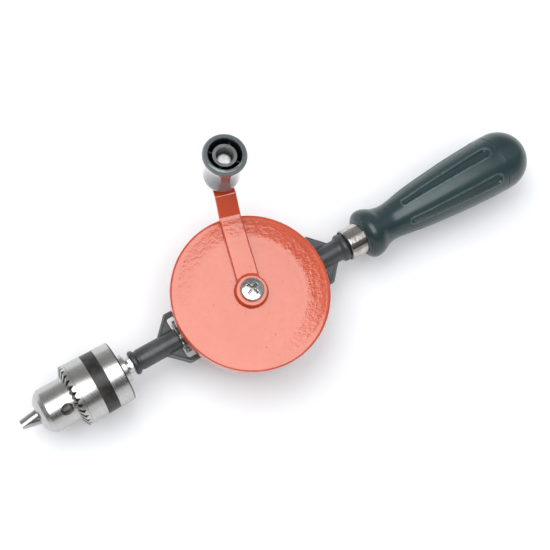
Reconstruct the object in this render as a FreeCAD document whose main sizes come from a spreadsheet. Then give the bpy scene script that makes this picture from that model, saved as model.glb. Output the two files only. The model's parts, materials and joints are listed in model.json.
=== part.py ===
import FreeCAD, Part
import math
import os

import Sketcher

# Hand drill: a keyed three-jaw chuck on a spindle, driven by a crank wheel with crown teeth.
# Row frame: origin at the chuck's mouth, on the spindle axis. +X runs along the spindle from the
# jaws to the handle, and +Z points up from the frame to the crank. All lengths are in millimetres.

DRIVING_SIZES = {
    # chuck
    "jaw_reach": 33.5,
    "jaw_rod_radius": 3.2,
    "jaw_rod_lead": 6.0,
    "jaw_sector_radius": 14.0,
    "jaw_tilt": 12.0,
    "jaw_axis_start": -0.87,
    "jaw_parting": 0.12,
    "jaw_thread_start": 12.0,
    "jaw_tooth_land": 0.12,
    "grip_radius": 0.75,
    "thread_pitch": 2.0,
    "thread_depth": 0.6,
    "thread_clearance": 0.12,
    "nose_x": 9.5,
    "nose_radius": 6.4,
    "nose_edge_x": 10.5,
    "nose_edge_radius": 8.7,
    "nose_dome_x": 12.2,
    "nose_dome_radius": 10.8,
    "shoulder_x": 14.4,
    "chuck_front_radius": 12.3,
    "chuck_bore_radius": 4.85,
    "chuck_bore_end": 37.0,
    "chuck_rear_radius": 14.35,
    "chuck_rear_x": 56.9,
    "chuck_boss_radius": 7.6,
    "chuck_boss_x": 60.6,
    "chuck_thread_start": 43.2,
    "chuck_thread_radius": 4.76,
    "passage_end": 54.0,
    "key_hole_x": 23.6,
    "key_hole_radius": 3.2,
    "key_hole_depth": 5.8,
    "key_hole_chamfer": 0.3,
    "nut_start": 31.4,
    "nut_end": 37.6,
    "nut_outer_radius": 14.38,
    "nut_groove_radius": 8.6,
    "nut_side_gap": 0.2,
    "nut_split": 0.3,
    "sleeve_front_x": 29.6,
    "sleeve_rear_x": 57.2,
    "sleeve_front_radius": 17.2,
    "sleeve_rear_radius": 16.7,
    "sleeve_lip_x": 27.9,
    "sleeve_lip_radius": 12.65,
    "sleeve_lip_width": 0.35,
    "sleeve_lip_chamfer": 0.5,
    "sleeve_corner": 0.4,
    "sleeve_bore_radius": 14.4,
    "sleeve_edge": 0.6,
    "sleeve_line_x": 32.3,
    "sleeve_line_depth": 0.15,
    "band_start": 41.3,
    "band_end": 48.4,
    "band_depth": 0.2,
    "key_tooth_count": 30,
    "key_tooth_depth": 1.5,
    "key_tooth_slope": 25.0,
    "key_tooth_cutter": 2.4,
    "key_tooth_length": 9.0,
    # spindle and drive pinion
    "running_gap": 0.05,
    "seat_gap": 0.02,
    "end_gap": 0.1,
    "spindle_collar_radius": 4.1,
    "spindle_collar_end": 62.2,
    "spindle_neck_radius": 3.4,
    "spindle_hex_flats": 7.6,
    "spindle_hex_end": 63.8,
    "journal_radius": 4.0,
    "rear_journal_radius": 3.0,
    "rear_journal_start": 106.0,
    "spindle_end": 123.3,
    "ball_radius": 2.95,
    "pinion_teeth": 11,
    "pinion_front": 93.0,
    "pinion_face": 5.3,
    "pinion_hub_end": 105.0,
    "pinion_hub_radius": 6.0,
    "pinion_pitch_radius": 8.0,
    "pinion_tip_radius": 9.5,
    "pinion_root_radius": 6.2,
    "pinion_tooth_width": 2.1,
    "pinion_tooth_sink": 0.4,
    "pinion_collar_setback": 0.5,
    "pressure_angle": 20.0,
    "pin_x": 101.8,
    "pin_radius": 1.25,
    "pin_recess": 0.2,
    "washer_thickness": 0.8,
    "pinion_washer_radius": 5.7,
    # frame casting
    "crank_x": 135.4,
    "tube_front": 64.1,
    "bead_end": 66.9,
    "bead_radius": 6.8,
    "bead_edge_radius": 1.1,
    "tube_neck_end": 68.1,
    "tube_neck_radius": 5.4,
    "tube_neck_slope": 0.6,
    "tube_radius": 5.8,
    "tube_end": 92.0,
    "plate_half_height": 1.6,
    "plate_half_width": 15.0,
    "plate_end_half_width": 5.3,
    "plate_front": 81.9,
    "plate_front_corner": 91.4,
    "plate_rear_corner": 182.4,
    "plate_rear": 191.4,
    "plate_corner_radius": 1.2,
    "window_front": 91.2,
    "window_rear": 181.4,
    "window_half_width": 12.1,
    "window_corner_radius": 1.5,
    "web_half_length": 11.0,
    "web_boss_radius": 9.0,
    "web_boss_height": 8.0,
    "bearing_half_length": 18.0,
    "bearing_radius": 6.0,
    "ball_seat_x": 129.35,
    "rear_tube_radius": 6.3,
    "collar_foot": 194.0,
    "collar_front": 196.2,
    "collar_end": 198.4,
    "collar_radius": 8.0,
    "collar_edge_radius": 0.8,
    "tang_radius": 5.0,
    "tang_end": 232.0,
    # wheel, axle and idler
    "wheel_teeth": 55,
    "wheel_radius": 42.85,
    "wheel_top": 17.3,
    "wheel_plate": 2.6,
    "wheel_rim_inner": 36.6,
    "wheel_inner_slope": 2.0,
    "wheel_edge_radius": 1.6,
    "crown_root": 9.9,
    "crown_pitch_plane": 8.0,
    "crown_tip": 6.5,
    "crown_inner": 37.5,
    "crown_outer": 42.5,
    "crown_tooth_width": 1.75,
    "crown_tooth_sink": 0.4,
    "wheel_hub_radius": 10.5,
    "wheel_hub_gap": 0.2,
    "axle_radius": 4.0,
    "axle_seat_radius": 4.2,
    "axle_square": 6.0,
    "axle_square_top": 20.5,
    "axle_chamfer": 0.5,
    "axle_bottom": -11.0,
    "axle_thread_radius": 2.1,
    "axle_thread_depth": 12.0,
    "axle_washer_radius": 7.5,
    "clip_thickness": 0.7,
    "clip_mouth_share": 1.55,
    "clip_radius": 6.4,
    "clip_groove_radius": 3.2,
    "idler_axle_radius": 2.5,
    "idler_axle_start": 147.0,
    "idler_axle_end": 188.0,
    "idler_hub_start": 166.0,
    "idler_shoulder_end": 181.2,
    "idler_shoulder_radius": 4.6,
    "idler_clip_radius": 4.8,
    "idler_groove_radius": 2.0,
    # crank arm and knob
    "arm_angle": 75.1,
    "arm_length": 62.8,
    "arm_bottom": 17.4,
    "arm_thickness": 2.4,
    "arm_bend_shift": 0.48,
    "arm_rise": 5.0,
    "arm_bend_start": 42.5,
    "arm_bend_end": 53.5,
    "arm_hub_width": 12.3,
    "arm_knob_width": 11.6,
    "arm_boss_radius": 9.35,
    "arm_boss_top": 20.6,
    "arm_boss_top_radius": 8.5,
    "screw_head_radius": 6.3,
    "screw_head_height": 2.7,
    "screw_head_rounding": 1.9,
    "screw_chamfer": 0.4,
    "screw_turn": 20.0,
    "screw_shank_length": 10.0,
    "screw_slot_width": 1.5,
    "screw_slot_length": 7.2,
    "screw_slot_depth": 1.5,
    "knob_lean": 3.2,
    "knob_gap": 0.2,
    "knob_height": 30.6,
    "knob_mouth_radius": 8.95,
    "knob_mouth_chamfer": 0.4,
    "knob_mouth_depth": 6.0,
    "knob_inner_radius": 8.4,
    "knob_cavity_floor": 4.0,
    "knob_tube_radius": 6.4,
    "knob_tube_height": 28.3,
    "knob_tube_bore": 4.7,
    "knob_seat_height": 20.3,
    "knob_rib_width": 0.8,
    "knob_rib_height": 26.0,
    "knob_rib_angle": 56.0,
    "rivet_radius": 3.0,
    "rivet_head_radius": 4.0,
    "rivet_head_height": 2.2,
    "rivet_head_rounding": 1.3,
    "rivet_tail_radius": 4.2,
    "rivet_tail_height": 1.2,
    "rivet_tail_rounding": 0.8,
    # ferrule and handle
    "ferrule_front": 199.3,
    "ferrule_rear": 210.2,
    "ferrule_radius": 9.1,
    "ferrule_wall": 0.7,
    "ferrule_lip_radius": 8.7,
    "ferrule_lip_width": 0.6,
    "handle_front": 209.6,
    "handle_spigot_front": 200.0,
    "bolt_start": 218.0,
    "bolt_radius": 2.45,
    "bolt_seat": 270.0,
    "bolt_hole_gap": 0.3,
    "bolt_washer_radius": 6.0,
    "bolt_washer_thickness": 1.0,
    "bolt_head_radius": 4.3,
    "bolt_head_height": 4.0,
    "bolt_chamfer": 0.4,
    "bolt_socket_flats": 4.0,
    "bolt_socket_depth": 2.2,
    "handle_cavity_radius": 9.0,
    "seam_x": 301.8,
    "seam_chamfer": 0.3,
    "cap_plug_start": 289.0,
    "cap_plug_wall": 2.2,
    "cap_wall": 8.0,
    "handle_end": 323.8,
    "flute_count": 6,
    "flute_start": 237.5,
    "flute_end": 297.5,
    "flute_front_radius": 1.4,
    "flute_rear_radius": 2.9,
    "flute_azimuth": 13.0,
    "flute_depth": 0.7,
}

# The handle's outer curve, as stations along the axis and the radius at each.
HANDLE_CURVE = [
    (209.6, 10.6), (211.6, 13.3), (214.2, 14.2), (217.6, 13.7), (222.2, 11.6), (228.2, 10.5),
    (236.4, 11.4), (247.4, 13.1), (262.4, 14.7), (277.4, 16.0), (291.0, 16.8), (301.5, 17.1),
]

# The knob's outer curve, as heights above its base and the radius at each.
KNOB_CURVE = [
    (0.0, 6.6), (1.2, 8.4), (4.0, 9.7), (10.0, 10.0), (18.0, 10.2), (22.0, 10.6), (26.6, 11.45),
    (28.6, 11.8), (29.9, 11.3), (30.6, 10.2),
]

document = FreeCAD.newDocument("hand_drill")
sheet = document.addObject("Spreadsheet::Sheet", "sizes")
for row_number, (alias, number) in enumerate(DRIVING_SIZES.items(), start=1):
    sheet.set(f"A{row_number}", alias)
    sheet.set(f"B{row_number}", str(number))
    sheet.setAlias(f"B{row_number}", alias)
document.recompute()

NODES = {}
X_AXIS = FreeCAD.Vector(1, 0, 0)
Y_AXIS = FreeCAD.Vector(0, 1, 0)
Z_AXIS = FreeCAD.Vector(0, 0, 1)
JAW_ANGLES = (60, 180, 300)
KEY_HOLE_ANGLES = (0, 120, 240)
HEXAGON_ANGLES = (0, 60, 120, 180, 240, 300)
# A length past everything, and how far a cutting shape runs past the face that it cuts.
ABOVE_ALL = 40
OVERRUN = 1


def measure(alias):
    """A driving size as a plain number, read from the sheet."""
    return float(sheet.get(alias))


class Size:
    """A length worked out from the sheet: its value now, and the expression that gives it."""

    def __init__(self, value, text):
        self.value = value
        self.text = text

    def __add__(self, other):
        other = as_size(other)
        return Size(self.value + other.value, f"({self.text} + {other.text})")

    def __radd__(self, other):
        return as_size(other) + self

    def __sub__(self, other):
        other = as_size(other)
        return Size(self.value - other.value, f"({self.text} - {other.text})")

    def __rsub__(self, other):
        return as_size(other) - self

    def __mul__(self, other):
        other = as_size(other)
        return Size(self.value * other.value, f"({self.text} * {other.text})")

    def __rmul__(self, other):
        return as_size(other) * self

    def __truediv__(self, other):
        other = as_size(other)
        return Size(self.value / other.value, f"({self.text} / {other.text})")

    def __neg__(self):
        return Size(-self.value, f"(-{self.text})")


def as_size(number):
    if isinstance(number, Size):
        return number
    return Size(float(number), repr(float(number)))


def size(alias):
    return Size(measure(alias), f"sizes.{alias}")


def slope(angle):
    """The tangent of an angle in degrees."""
    return Size(math.tan(math.radians(angle.value)), f"tan({angle.text} * 1deg)")


def cosine(angle):
    return Size(math.cos(math.radians(angle.value)), f"cos({angle.text} * 1deg)")


def sine(angle):
    return Size(math.sin(math.radians(angle.value)), f"sin({angle.text} * 1deg)")


def bind(item, **properties):
    """Bind properties of a document object to the sheet."""
    for name, amount in properties.items():
        item.setExpression(name, as_size(amount).text)
    return item


def place(item, x=0, y=0, z=0, axis=None, angle=None):
    """Bind an object's position to the sheet, and turn it about an axis through that position."""
    if axis is not None:
        item.Placement = FreeCAD.Placement(FreeCAD.Vector(), FreeCAD.Rotation(axis, as_size(angle).value))
        item.setExpression("Placement.Rotation.Angle", f"{as_size(angle).text} * 1deg")
    for direction, amount in (("x", x), ("y", y), ("z", z)):
        item.setExpression(f"Placement.Base.{direction}", as_size(amount).text)
    return item


def keep(node, item):
    """Name a finished piece."""
    item.Label = node
    NODES[node] = item
    return item


def origin_feature(body, role):
    return next(item for item in body.Origin.OriginFeatures if item.Role == role)


def new_sketch(body, name, plane, offset=None):
    sketch = body.newObject("Sketcher::SketchObject", name)
    sketch.AttachmentSupport = [(origin_feature(body, plane), "")]
    sketch.MapMode = "FlatFace"
    if offset is not None:
        sketch.AttachmentOffset = FreeCAD.Placement(FreeCAD.Vector(0, 0, offset.value), FreeCAD.Rotation())
        sketch.setExpression("AttachmentOffset.Base.z", offset.text)
    return sketch


def pin_point(sketch, geometry, end, across, up):
    """Fix a point of a sketch at two lengths from the sketch's origin."""
    for kind, amount in (("DistanceX", across), ("DistanceY", up)):
        if abs(amount.value) < 1e-9:
            axis = -2 if kind == "DistanceX" else -1
            sketch.addConstraint(Sketcher.Constraint("PointOnObject", geometry, end, axis))
            continue
        constraint = sketch.addConstraint(Sketcher.Constraint(kind, -1, 1, geometry, end, amount.value))
        sketch.setExpression(f"Constraints[{constraint}]", amount.text)


def add_outline(sketch, corners):
    """Draw one closed outline of straight lines through the corners."""
    corners = [(as_size(across), as_size(up)) for across, up in corners]
    first = sketch.GeometryCount
    for index, (across, up) in enumerate(corners):
        next_across, next_up = corners[(index + 1) % len(corners)]
        start = FreeCAD.Vector(across.value, up.value, 0)
        finish = FreeCAD.Vector(next_across.value, next_up.value, 0)
        sketch.addGeometry(Part.LineSegment(start, finish), False)
    for index, (across, up) in enumerate(corners):
        following = first + (index + 1) % len(corners)
        sketch.addConstraint(Sketcher.Constraint("Coincident", first + index, 2, following, 1))
        pin_point(sketch, first + index, 1, across, up)


def add_circle(sketch, across, up, radius):
    across, up, radius = as_size(across), as_size(up), as_size(radius)
    centre = FreeCAD.Vector(across.value, up.value, 0)
    circle = sketch.addGeometry(Part.Circle(centre, FreeCAD.Vector(0, 0, 1), radius.value), False)
    pin_point(sketch, circle, 3, across, up)
    constraint = sketch.addConstraint(Sketcher.Constraint("Radius", circle, radius.value))
    sketch.setExpression(f"Constraints[{constraint}]", radius.text)


def new_body(name):
    return document.addObject("PartDesign::Body", name)


def turned(name, corners, about="x"):
    """A body turned about X from corners (x, radius), or about Z from corners (radius, z)."""
    body = new_body(name)
    turn(body, name + "_turning", corners, about, "PartDesign::Revolution")
    return body


def turn(body, name, corners, about, kind):
    """Add or cut a turned shape on a body."""
    sketch = new_sketch(body, name + "_outline", "XY_Plane" if about == "x" else "XZ_Plane")
    add_outline(sketch, corners)
    feature = body.newObject(kind, name)
    feature.Profile = sketch
    feature.ReferenceAxis = (sketch, ["H_Axis"] if about == "x" else ["V_Axis"])
    feature.Angle = 360
    return feature


def pad(body, name, sketch, length, both_ways=False):
    feature = body.newObject("PartDesign::Pad", name)
    feature.Profile = sketch
    feature.Midplane = both_ways
    return bind(feature, Length=length)


def pocket(body, name, sketch, length, both_ways=False):
    feature = body.newObject("PartDesign::Pocket", name)
    feature.Profile = sketch
    feature.Midplane = both_ways
    return bind(feature, Length=length)


def hexagon(sketch, across_flats):
    """Draw a regular hexagon about the sketch's origin."""
    across_corners = across_flats / 2 / cosine(as_size(30))
    add_outline(sketch, [
        (across_corners * cosine(as_size(angle)), across_corners * sine(as_size(angle)))
        for angle in HEXAGON_ANGLES
    ])


def rounded(body, name, radius, chosen):
    """Round the edges of a body so far that the function chosen picks."""
    document.recompute()
    base = body.Tip
    edges = [f"Edge{number}" for number, edge in enumerate(base.Shape.Edges, start=1) if chosen(edge)]
    if not edges:
        raise RuntimeError(f"{name} found no edge to round")
    feature = body.newObject("PartDesign::Fillet", name)
    feature.Base = (base, edges)
    return bind(feature, Radius=radius)


def is_ring(edge, radius, station):
    """Whether an edge is a circle about X or Z of a radius, at a station along that axis."""
    curve = edge.Curve
    if not isinstance(curve, Part.Circle):
        return False
    along = curve.Center.dot(X_AXIS if abs(curve.Axis.x) > 0.5 else Z_AXIS)
    return abs(curve.Radius - radius.value) < 1e-4 and abs(along - station.value) < 1e-4


def is_upright(edge, across, up):
    """Whether an edge stands along Z over a corner of the XY plane."""
    ends = [vertex.Point for vertex in edge.Vertexes]
    return all(abs(end.x - across.value) < 1e-4 and abs(end.y - up.value) < 1e-4 for end in ends)


def around(body, name, feature, role, count):
    """Repeat a feature evenly round an axis of its body."""
    pattern = body.newObject("PartDesign::PolarPattern", name)
    pattern.Originals = [feature]
    pattern.Axis = (origin_feature(body, role), [""])
    pattern.Angle = 360
    bind(pattern, Occurrences=count)
    body.Tip = pattern
    return pattern


def cylinder(name, radius, length):
    """A cylinder along Z, from its own origin."""
    return bind(document.addObject("Part::Cylinder", name), Radius=radius, Height=length)


def fused(name, items):
    fusion = document.addObject("Part::MultiFuse", name)
    fusion.Shapes = items
    return fusion


def shared(name, items):
    common = document.addObject("Part::MultiCommon", name)
    common.Shapes = items
    return common


def cut(name, base, tool):
    result = document.addObject("Part::Cut", name)
    result.Base = base
    result.Tool = tool
    return result


def lie_along(item, start, azimuth, tilt=0, radial=0):
    """Lay a shape that stands on Z along X, leaning outwards by tilt in the plane at azimuth.

    The azimuth is measured about X, from +Y towards +Z. The shape's foot is at the given start on X
    and the given radial distance out from the axis.
    """
    turn_to_x = FreeCAD.Rotation(Y_AXIS, 90)
    lean = FreeCAD.Rotation(Z_AXIS, as_size(tilt).value)
    item.Placement.Rotation = FreeCAD.Rotation(X_AXIS, azimuth).multiply(lean).multiply(turn_to_x)
    radial = as_size(radial)
    out = f"cos({azimuth}deg)"
    up = f"sin({azimuth}deg)"
    item.setExpression("Placement.Base.x", as_size(start).text)
    item.setExpression("Placement.Base.y", f"{radial.text} * {out}")
    item.setExpression("Placement.Base.z", f"{radial.text} * {up}")
    return item


# ---------------------------------------------------------------- chuck

def jaw_back(x, clearance=0):
    """The distance from the axis to a jaw's back at a station x."""
    tilt = size("jaw_tilt")
    middle = size("jaw_axis_start") + x * slope(tilt)
    return middle + size("jaw_rod_radius") / cosine(tilt) + clearance


def jaw_rod(name, azimuth, start, finish, radius):
    """A rod along a jaw's sliding axis between two stations on X."""
    tilt = size("jaw_tilt")
    rod = cylinder(name, radius, (finish - start) / cosine(tilt))
    foot = size("jaw_axis_start") + start * slope(tilt)
    return lie_along(rod, start, azimuth, tilt, foot)


def thread_outline(start, finish, clearance, outer):
    """A zigzag along the jaws' backs, closed by an outer line: the teeth of the nut or of the jaws."""
    pitch = size("thread_pitch") * cosine(size("jaw_tilt"))
    count = int((finish.value - start.value) / pitch.value)
    corners = []
    for index in range(count):
        root = start + index * pitch
        crest = root + pitch / 2
        corners.append((root, jaw_back(root, clearance)))
        corners.append((crest, jaw_back(crest, clearance) - size("thread_depth")))
    last = start + count * pitch
    corners.append((last, jaw_back(last, clearance)))
    corners.append((last, outer))
    corners.append((start, outer))
    return corners


def build_jaws():
    """Three jaws: rods that slide on a cone, each ground to a third of a circle at the grip."""
    start = as_size(0)
    reach = size("jaw_reach")
    for number, azimuth in enumerate(JAW_ANGLES, start=1):
        name = f"chuck_jaw_{number}"
        lead = start - size("jaw_rod_lead")
        rod = jaw_rod(name + "_rod", azimuth, lead, reach, size("jaw_rod_radius"))
        sector = cylinder(name + "_sector", size("jaw_sector_radius"), reach + size("jaw_rod_radius"))
        sector.Angle = 360 / len(JAW_ANGLES)
        standing = FreeCAD.Rotation(Y_AXIS, 90)
        centring = FreeCAD.Rotation(Z_AXIS, 30)
        sector.Placement.Rotation = FreeCAD.Rotation(X_AXIS, azimuth).multiply(standing).multiply(centring)
        apart = size("jaw_parting") / 2 / sine(as_size(60))
        sector.setExpression("Placement.Base.y", f"{apart.text} * cos({azimuth}deg)")
        sector.setExpression("Placement.Base.z", f"{apart.text} * sin({azimuth}deg)")
        blank = shared(name + "_blank", [rod, sector])
        grip = lie_along(cylinder(name + "_grip", size("grip_radius"), reach), start - OVERRUN, 0)
        outer = jaw_back(reach, size("jaw_rod_radius"))
        teeth = turned(
            name + "_teeth",
            thread_outline(size("jaw_thread_start"), reach, size("jaw_tooth_land"), outer),
        )
        keep(name, cut(name, blank, fused(name + "_cuts", [grip, teeth])))


def build_chuck_body():
    groove_start = size("nut_start") - size("nut_side_gap")
    groove_end = size("nut_end") + size("nut_side_gap")
    turning = turned("chuck_body_turned", [
        (size("nose_x"), size("chuck_bore_radius")),
        (size("nose_x"), size("nose_radius")),
        (size("nose_edge_x"), size("nose_edge_radius")),
        (size("nose_dome_x"), size("nose_dome_radius")),
        (size("shoulder_x"), size("chuck_front_radius")),
        (groove_start, size("chuck_front_radius")),
        (groove_start, size("nut_groove_radius")),
        (groove_end, size("nut_groove_radius")),
        (groove_end, size("chuck_rear_radius")),
        (size("chuck_rear_x"), size("chuck_rear_radius")),
        (size("chuck_rear_x"), size("chuck_boss_radius")),
        (size("chuck_boss_x"), size("chuck_boss_radius")),
        (size("chuck_boss_x"), size("chuck_thread_radius")),
        (size("chuck_thread_start"), size("chuck_thread_radius")),
        (size("chuck_thread_start"), 0),
        (size("chuck_bore_end"), 0),
        (size("chuck_bore_end"), size("chuck_bore_radius")),
    ])
    tools = []
    passage_radius = size("jaw_rod_radius") + size("running_gap")
    for number, azimuth in enumerate(JAW_ANGLES, start=1):
        name = f"jaw_passage_{number}"
        tools.append(jaw_rod(name, azimuth, as_size(0), size("passage_end"), passage_radius))
    floor = size("chuck_front_radius") - size("key_hole_depth")
    for number, azimuth in enumerate(KEY_HOLE_ANGLES, start=1):
        hole = cylinder(f"key_hole_{number}", size("key_hole_radius"), size("key_hole_depth") + OVERRUN)
        mouth = document.addObject("Part::Cone", f"key_hole_mouth_{number}")
        chamfer = size("key_hole_chamfer")
        flare = chamfer + OVERRUN
        bind(mouth, Radius1=size("key_hole_radius"), Radius2=size("key_hole_radius") + flare, Height=flare)
        for item, foot in ((hole, floor), (mouth, size("chuck_front_radius") - chamfer)):
            item.Placement.Rotation = FreeCAD.Rotation(X_AXIS, azimuth - 90)
            item.setExpression("Placement.Base.x", size("key_hole_x").text)
            item.setExpression("Placement.Base.y", f"{foot.text} * cos({azimuth}deg)")
            item.setExpression("Placement.Base.z", f"{foot.text} * sin({azimuth}deg)")
            tools.append(item)
    keep("chuck_body", cut("chuck_body", turning, fused("chuck_body_cuts", tools)))


def build_chuck_nut():
    """A threaded ring, split in two so that it goes into the body's groove."""
    start = size("nut_start")
    finish = size("nut_end")
    clearance = size("thread_clearance")
    pitch = size("thread_pitch") * cosine(size("jaw_tilt"))
    count = int((finish.value - start.value) / pitch.value)
    corners = []
    for index in range(count):
        crest = start + index * pitch
        root = crest + pitch / 2
        corners.append((crest, jaw_back(crest, clearance)))
        corners.append((root, jaw_back(root, clearance) + size("thread_depth")))
    corners.append((start + count * pitch, jaw_back(start + count * pitch, clearance)))
    corners.append((finish, jaw_back(finish, clearance)))
    corners.append((finish, size("nut_outer_radius")))
    corners.append((start, size("nut_outer_radius")))
    ring = turned("chuck_nut_ring", corners)
    saw = document.addObject("Part::Box", "chuck_nut_saw")
    bind(saw, Length=finish - start + 2 * OVERRUN, Width=2 * ABOVE_ALL, Height=size("nut_split"))
    place(saw, x=start - OVERRUN, y=-ABOVE_ALL, z=-size("nut_split") / 2)
    keep("chuck_nut", cut("chuck_nut", ring, saw))


def build_chuck_sleeve():
    """The outer sleeve: crown teeth for the key at its front, and a shallow dark band."""
    front = size("sleeve_front_x")
    rear = size("sleeve_rear_x")
    edge = size("sleeve_edge")
    taper = (size("sleeve_front_radius") - size("sleeve_rear_radius")) / (rear - front)

    def outside(x):
        return size("sleeve_front_radius") - (x - front) * taper

    lip_edge = size("sleeve_lip_radius") + size("sleeve_lip_width")
    corner = size("sleeve_corner")
    line = size("sleeve_line_x")
    line_depth = size("sleeve_line_depth")
    band_depth = size("band_depth")
    turning = turned("chuck_sleeve_turned", [
        (size("sleeve_lip_x") + size("sleeve_lip_chamfer"), size("sleeve_lip_radius")),
        (size("sleeve_lip_x"), lip_edge),
        (front, size("sleeve_front_radius") - corner / 2),
        (front + corner, outside(front + corner)),
        (line - line_depth, outside(line)),
        (line, outside(line) - line_depth),
        (line + line_depth, outside(line)),
        (size("band_start"), outside(size("band_start"))),
        (size("band_start"), outside(size("band_start")) - band_depth),
        (size("band_end"), outside(size("band_end")) - band_depth),
        (size("band_end"), outside(size("band_end"))),
        (rear - edge, outside(rear - edge)),
        (rear, outside(rear) - edge),
        (rear, size("sleeve_bore_radius")),
        (size("nut_start") - size("seat_gap"), size("sleeve_bore_radius")),
        (size("nut_start") - size("seat_gap"), size("sleeve_lip_radius")),
    ])
    slant = size("key_tooth_slope")
    cutter = size("key_tooth_cutter")
    sunk = cutter - size("key_tooth_depth")
    foot_x = size("sleeve_lip_x") - OVERRUN * slope(slant) - sunk * cosine(slant)
    foot_radius = lip_edge - OVERRUN + sunk * sine(slant)
    notches = []
    count = int(size("key_tooth_count").value)
    for index in range(count):
        azimuth = 360.0 * index / count
        notch = document.addObject("Part::Prism", f"key_tooth_gap_{index + 1}")
        notch.Polygon = 3
        bind(notch, Circumradius=cutter, Height=size("key_tooth_length"))
        lean = FreeCAD.Rotation(Y_AXIS, slant.value)
        notch.Placement.Rotation = FreeCAD.Rotation(X_AXIS, azimuth - 90).multiply(lean)
        notch.setExpression("Placement.Base.x", foot_x.text)
        notch.setExpression("Placement.Base.y", f"{foot_radius.text} * cos({azimuth}deg)")
        notch.setExpression("Placement.Base.z", f"{foot_radius.text} * sin({azimuth}deg)")
        notches.append(notch)
    keep("chuck_sleeve", cut("chuck_sleeve", turning, fused("key_tooth_gaps", notches)))


# ---------------------------------------------------------------- spindle and pinions

def build_spindle():
    """The spindle: screwed into the chuck, hexagonal by the frame, and running on two journals."""
    gap = size("end_gap")
    thread = size("chuck_thread_radius") - size("running_gap")
    body = turned("spindle", [
        (size("chuck_thread_start") + gap, 0),
        (size("chuck_thread_start") + gap, thread),
        (size("chuck_boss_x") + gap, thread),
        (size("chuck_boss_x") + gap, size("spindle_collar_radius")),
        (size("spindle_collar_end"), size("spindle_collar_radius")),
        (size("spindle_collar_end"), size("spindle_neck_radius")),
        (size("spindle_hex_end"), size("spindle_neck_radius")),
        (size("spindle_hex_end"), size("journal_radius")),
        (size("rear_journal_start"), size("journal_radius")),
        (size("rear_journal_start"), size("rear_journal_radius")),
        (size("spindle_end"), size("rear_journal_radius")),
        (size("spindle_end"), 0),
    ])
    sketch = new_sketch(body, "spindle_hexagon", "YZ_Plane", size("spindle_collar_end"))
    hexagon(sketch, size("spindle_hex_flats"))
    pad(body, "spindle_hex", sketch, size("spindle_hex_end") - size("spindle_collar_end"))
    pin_sketch = new_sketch(body, "spindle_pin_circle", "XY_Plane")
    add_circle(pin_sketch, size("pin_x"), 0, size("pin_radius") + size("seat_gap"))
    pocket(body, "spindle_pin_hole", pin_sketch, 2 * ABOVE_ALL, both_ways=True)
    keep("spindle", body)


def tooth_flank(radius):
    """Half of a pinion tooth's angle at a radius, in degrees, from the involute of its base circle."""
    pressure = math.radians(measure("pressure_angle"))
    pitch_radius = measure("pinion_pitch_radius")
    base_radius = pitch_radius * math.cos(pressure)
    half_width = measure("pinion_tooth_width") / (2 * pitch_radius)
    here = math.acos(min(1.0, base_radius / radius))
    roll = math.tan(here) - here
    roll_at_pitch = math.tan(pressure) - pressure
    return math.degrees(half_width + roll_at_pitch - roll)


def pinion_tooth_corners(middle):
    """The outline of one tooth, as corners about the pinion's axis, with its middle at an angle."""
    root = measure("pinion_root_radius")
    tip = measure("pinion_tip_radius")
    base = measure("pinion_pitch_radius") * math.cos(math.radians(measure("pressure_angle")))
    steps = 5
    foot = root - measure("pinion_tooth_sink")
    radii = [foot] + [base + (tip - base) * step / steps for step in range(steps + 1)]
    one_side = []
    for radius in radii:
        half_angle = tooth_flank(max(radius, base)) if radius > root else tooth_flank(base) * base / radius
        one_side.append((radius, half_angle))
    corners = [(radius, middle - half_angle) for radius, half_angle in one_side]
    corners += [(radius, middle + half_angle) for radius, half_angle in reversed(one_side)]
    return [
        (radius * math.cos(math.radians(angle)), radius * math.sin(math.radians(angle)))
        for radius, angle in corners
    ]


def add_pinion_teeth(body, name, front, first_tooth):
    """Teeth round X on a body, over the pinion's face width, with one tooth's middle at an angle."""
    disc = new_sketch(body, name + "_root_circle", "YZ_Plane", front)
    add_circle(disc, 0, 0, size("pinion_root_radius"))
    pad(body, name + "_root", disc, size("pinion_face"))
    tooth = new_sketch(body, name + "_tooth_outline", "YZ_Plane", front)
    add_outline(tooth, pinion_tooth_corners(first_tooth))
    one = pad(body, name + "_tooth", tooth, size("pinion_face"))
    around(body, name + "_teeth", one, "X_Axis", size("pinion_teeth"))


def build_pinion():
    front = size("pinion_front")
    bore = size("journal_radius") + size("seat_gap")
    hub_start = front + size("pinion_collar_setback")
    body = turned("pinion", [
        (hub_start, bore),
        (hub_start, size("pinion_hub_radius")),
        (size("pinion_hub_end"), size("pinion_hub_radius")),
        (size("pinion_hub_end"), bore),
    ])
    half_pitch = 180 / measure("pinion_teeth")
    add_pinion_teeth(body, "pinion", front, 90 + half_pitch)
    turn(body, "pinion_bore", [
        (front - OVERRUN, 0),
        (front - OVERRUN, bore),
        (size("pinion_hub_end") + OVERRUN, bore),
        (size("pinion_hub_end") + OVERRUN, 0),
    ], "x", "PartDesign::Groove")
    pin_sketch = new_sketch(body, "pinion_pin_circle", "XY_Plane")
    add_circle(pin_sketch, size("pin_x"), 0, size("pin_radius") + size("seat_gap"))
    pocket(body, "pinion_pin_hole", pin_sketch, 2 * ABOVE_ALL, both_ways=True)
    keep("pinion", body)


def build_pinion_pin():
    half_length = size("pinion_hub_radius") - size("pin_recess")
    pin = cylinder("pinion_pin", size("pin_radius"), 2 * half_length)
    place(pin, x=size("pin_x"), z=-half_length)
    keep("pinion_pin", pin)


def build_pinion_washer():
    front = size("tube_end") + size("end_gap")
    keep("pinion_washer", turned("pinion_washer", [
        (front, size("journal_radius") + size("running_gap")),
        (front, size("pinion_washer_radius")),
        (front + size("washer_thickness"), size("pinion_washer_radius")),
        (front + size("washer_thickness"), size("journal_radius") + size("running_gap")),
    ]))


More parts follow.
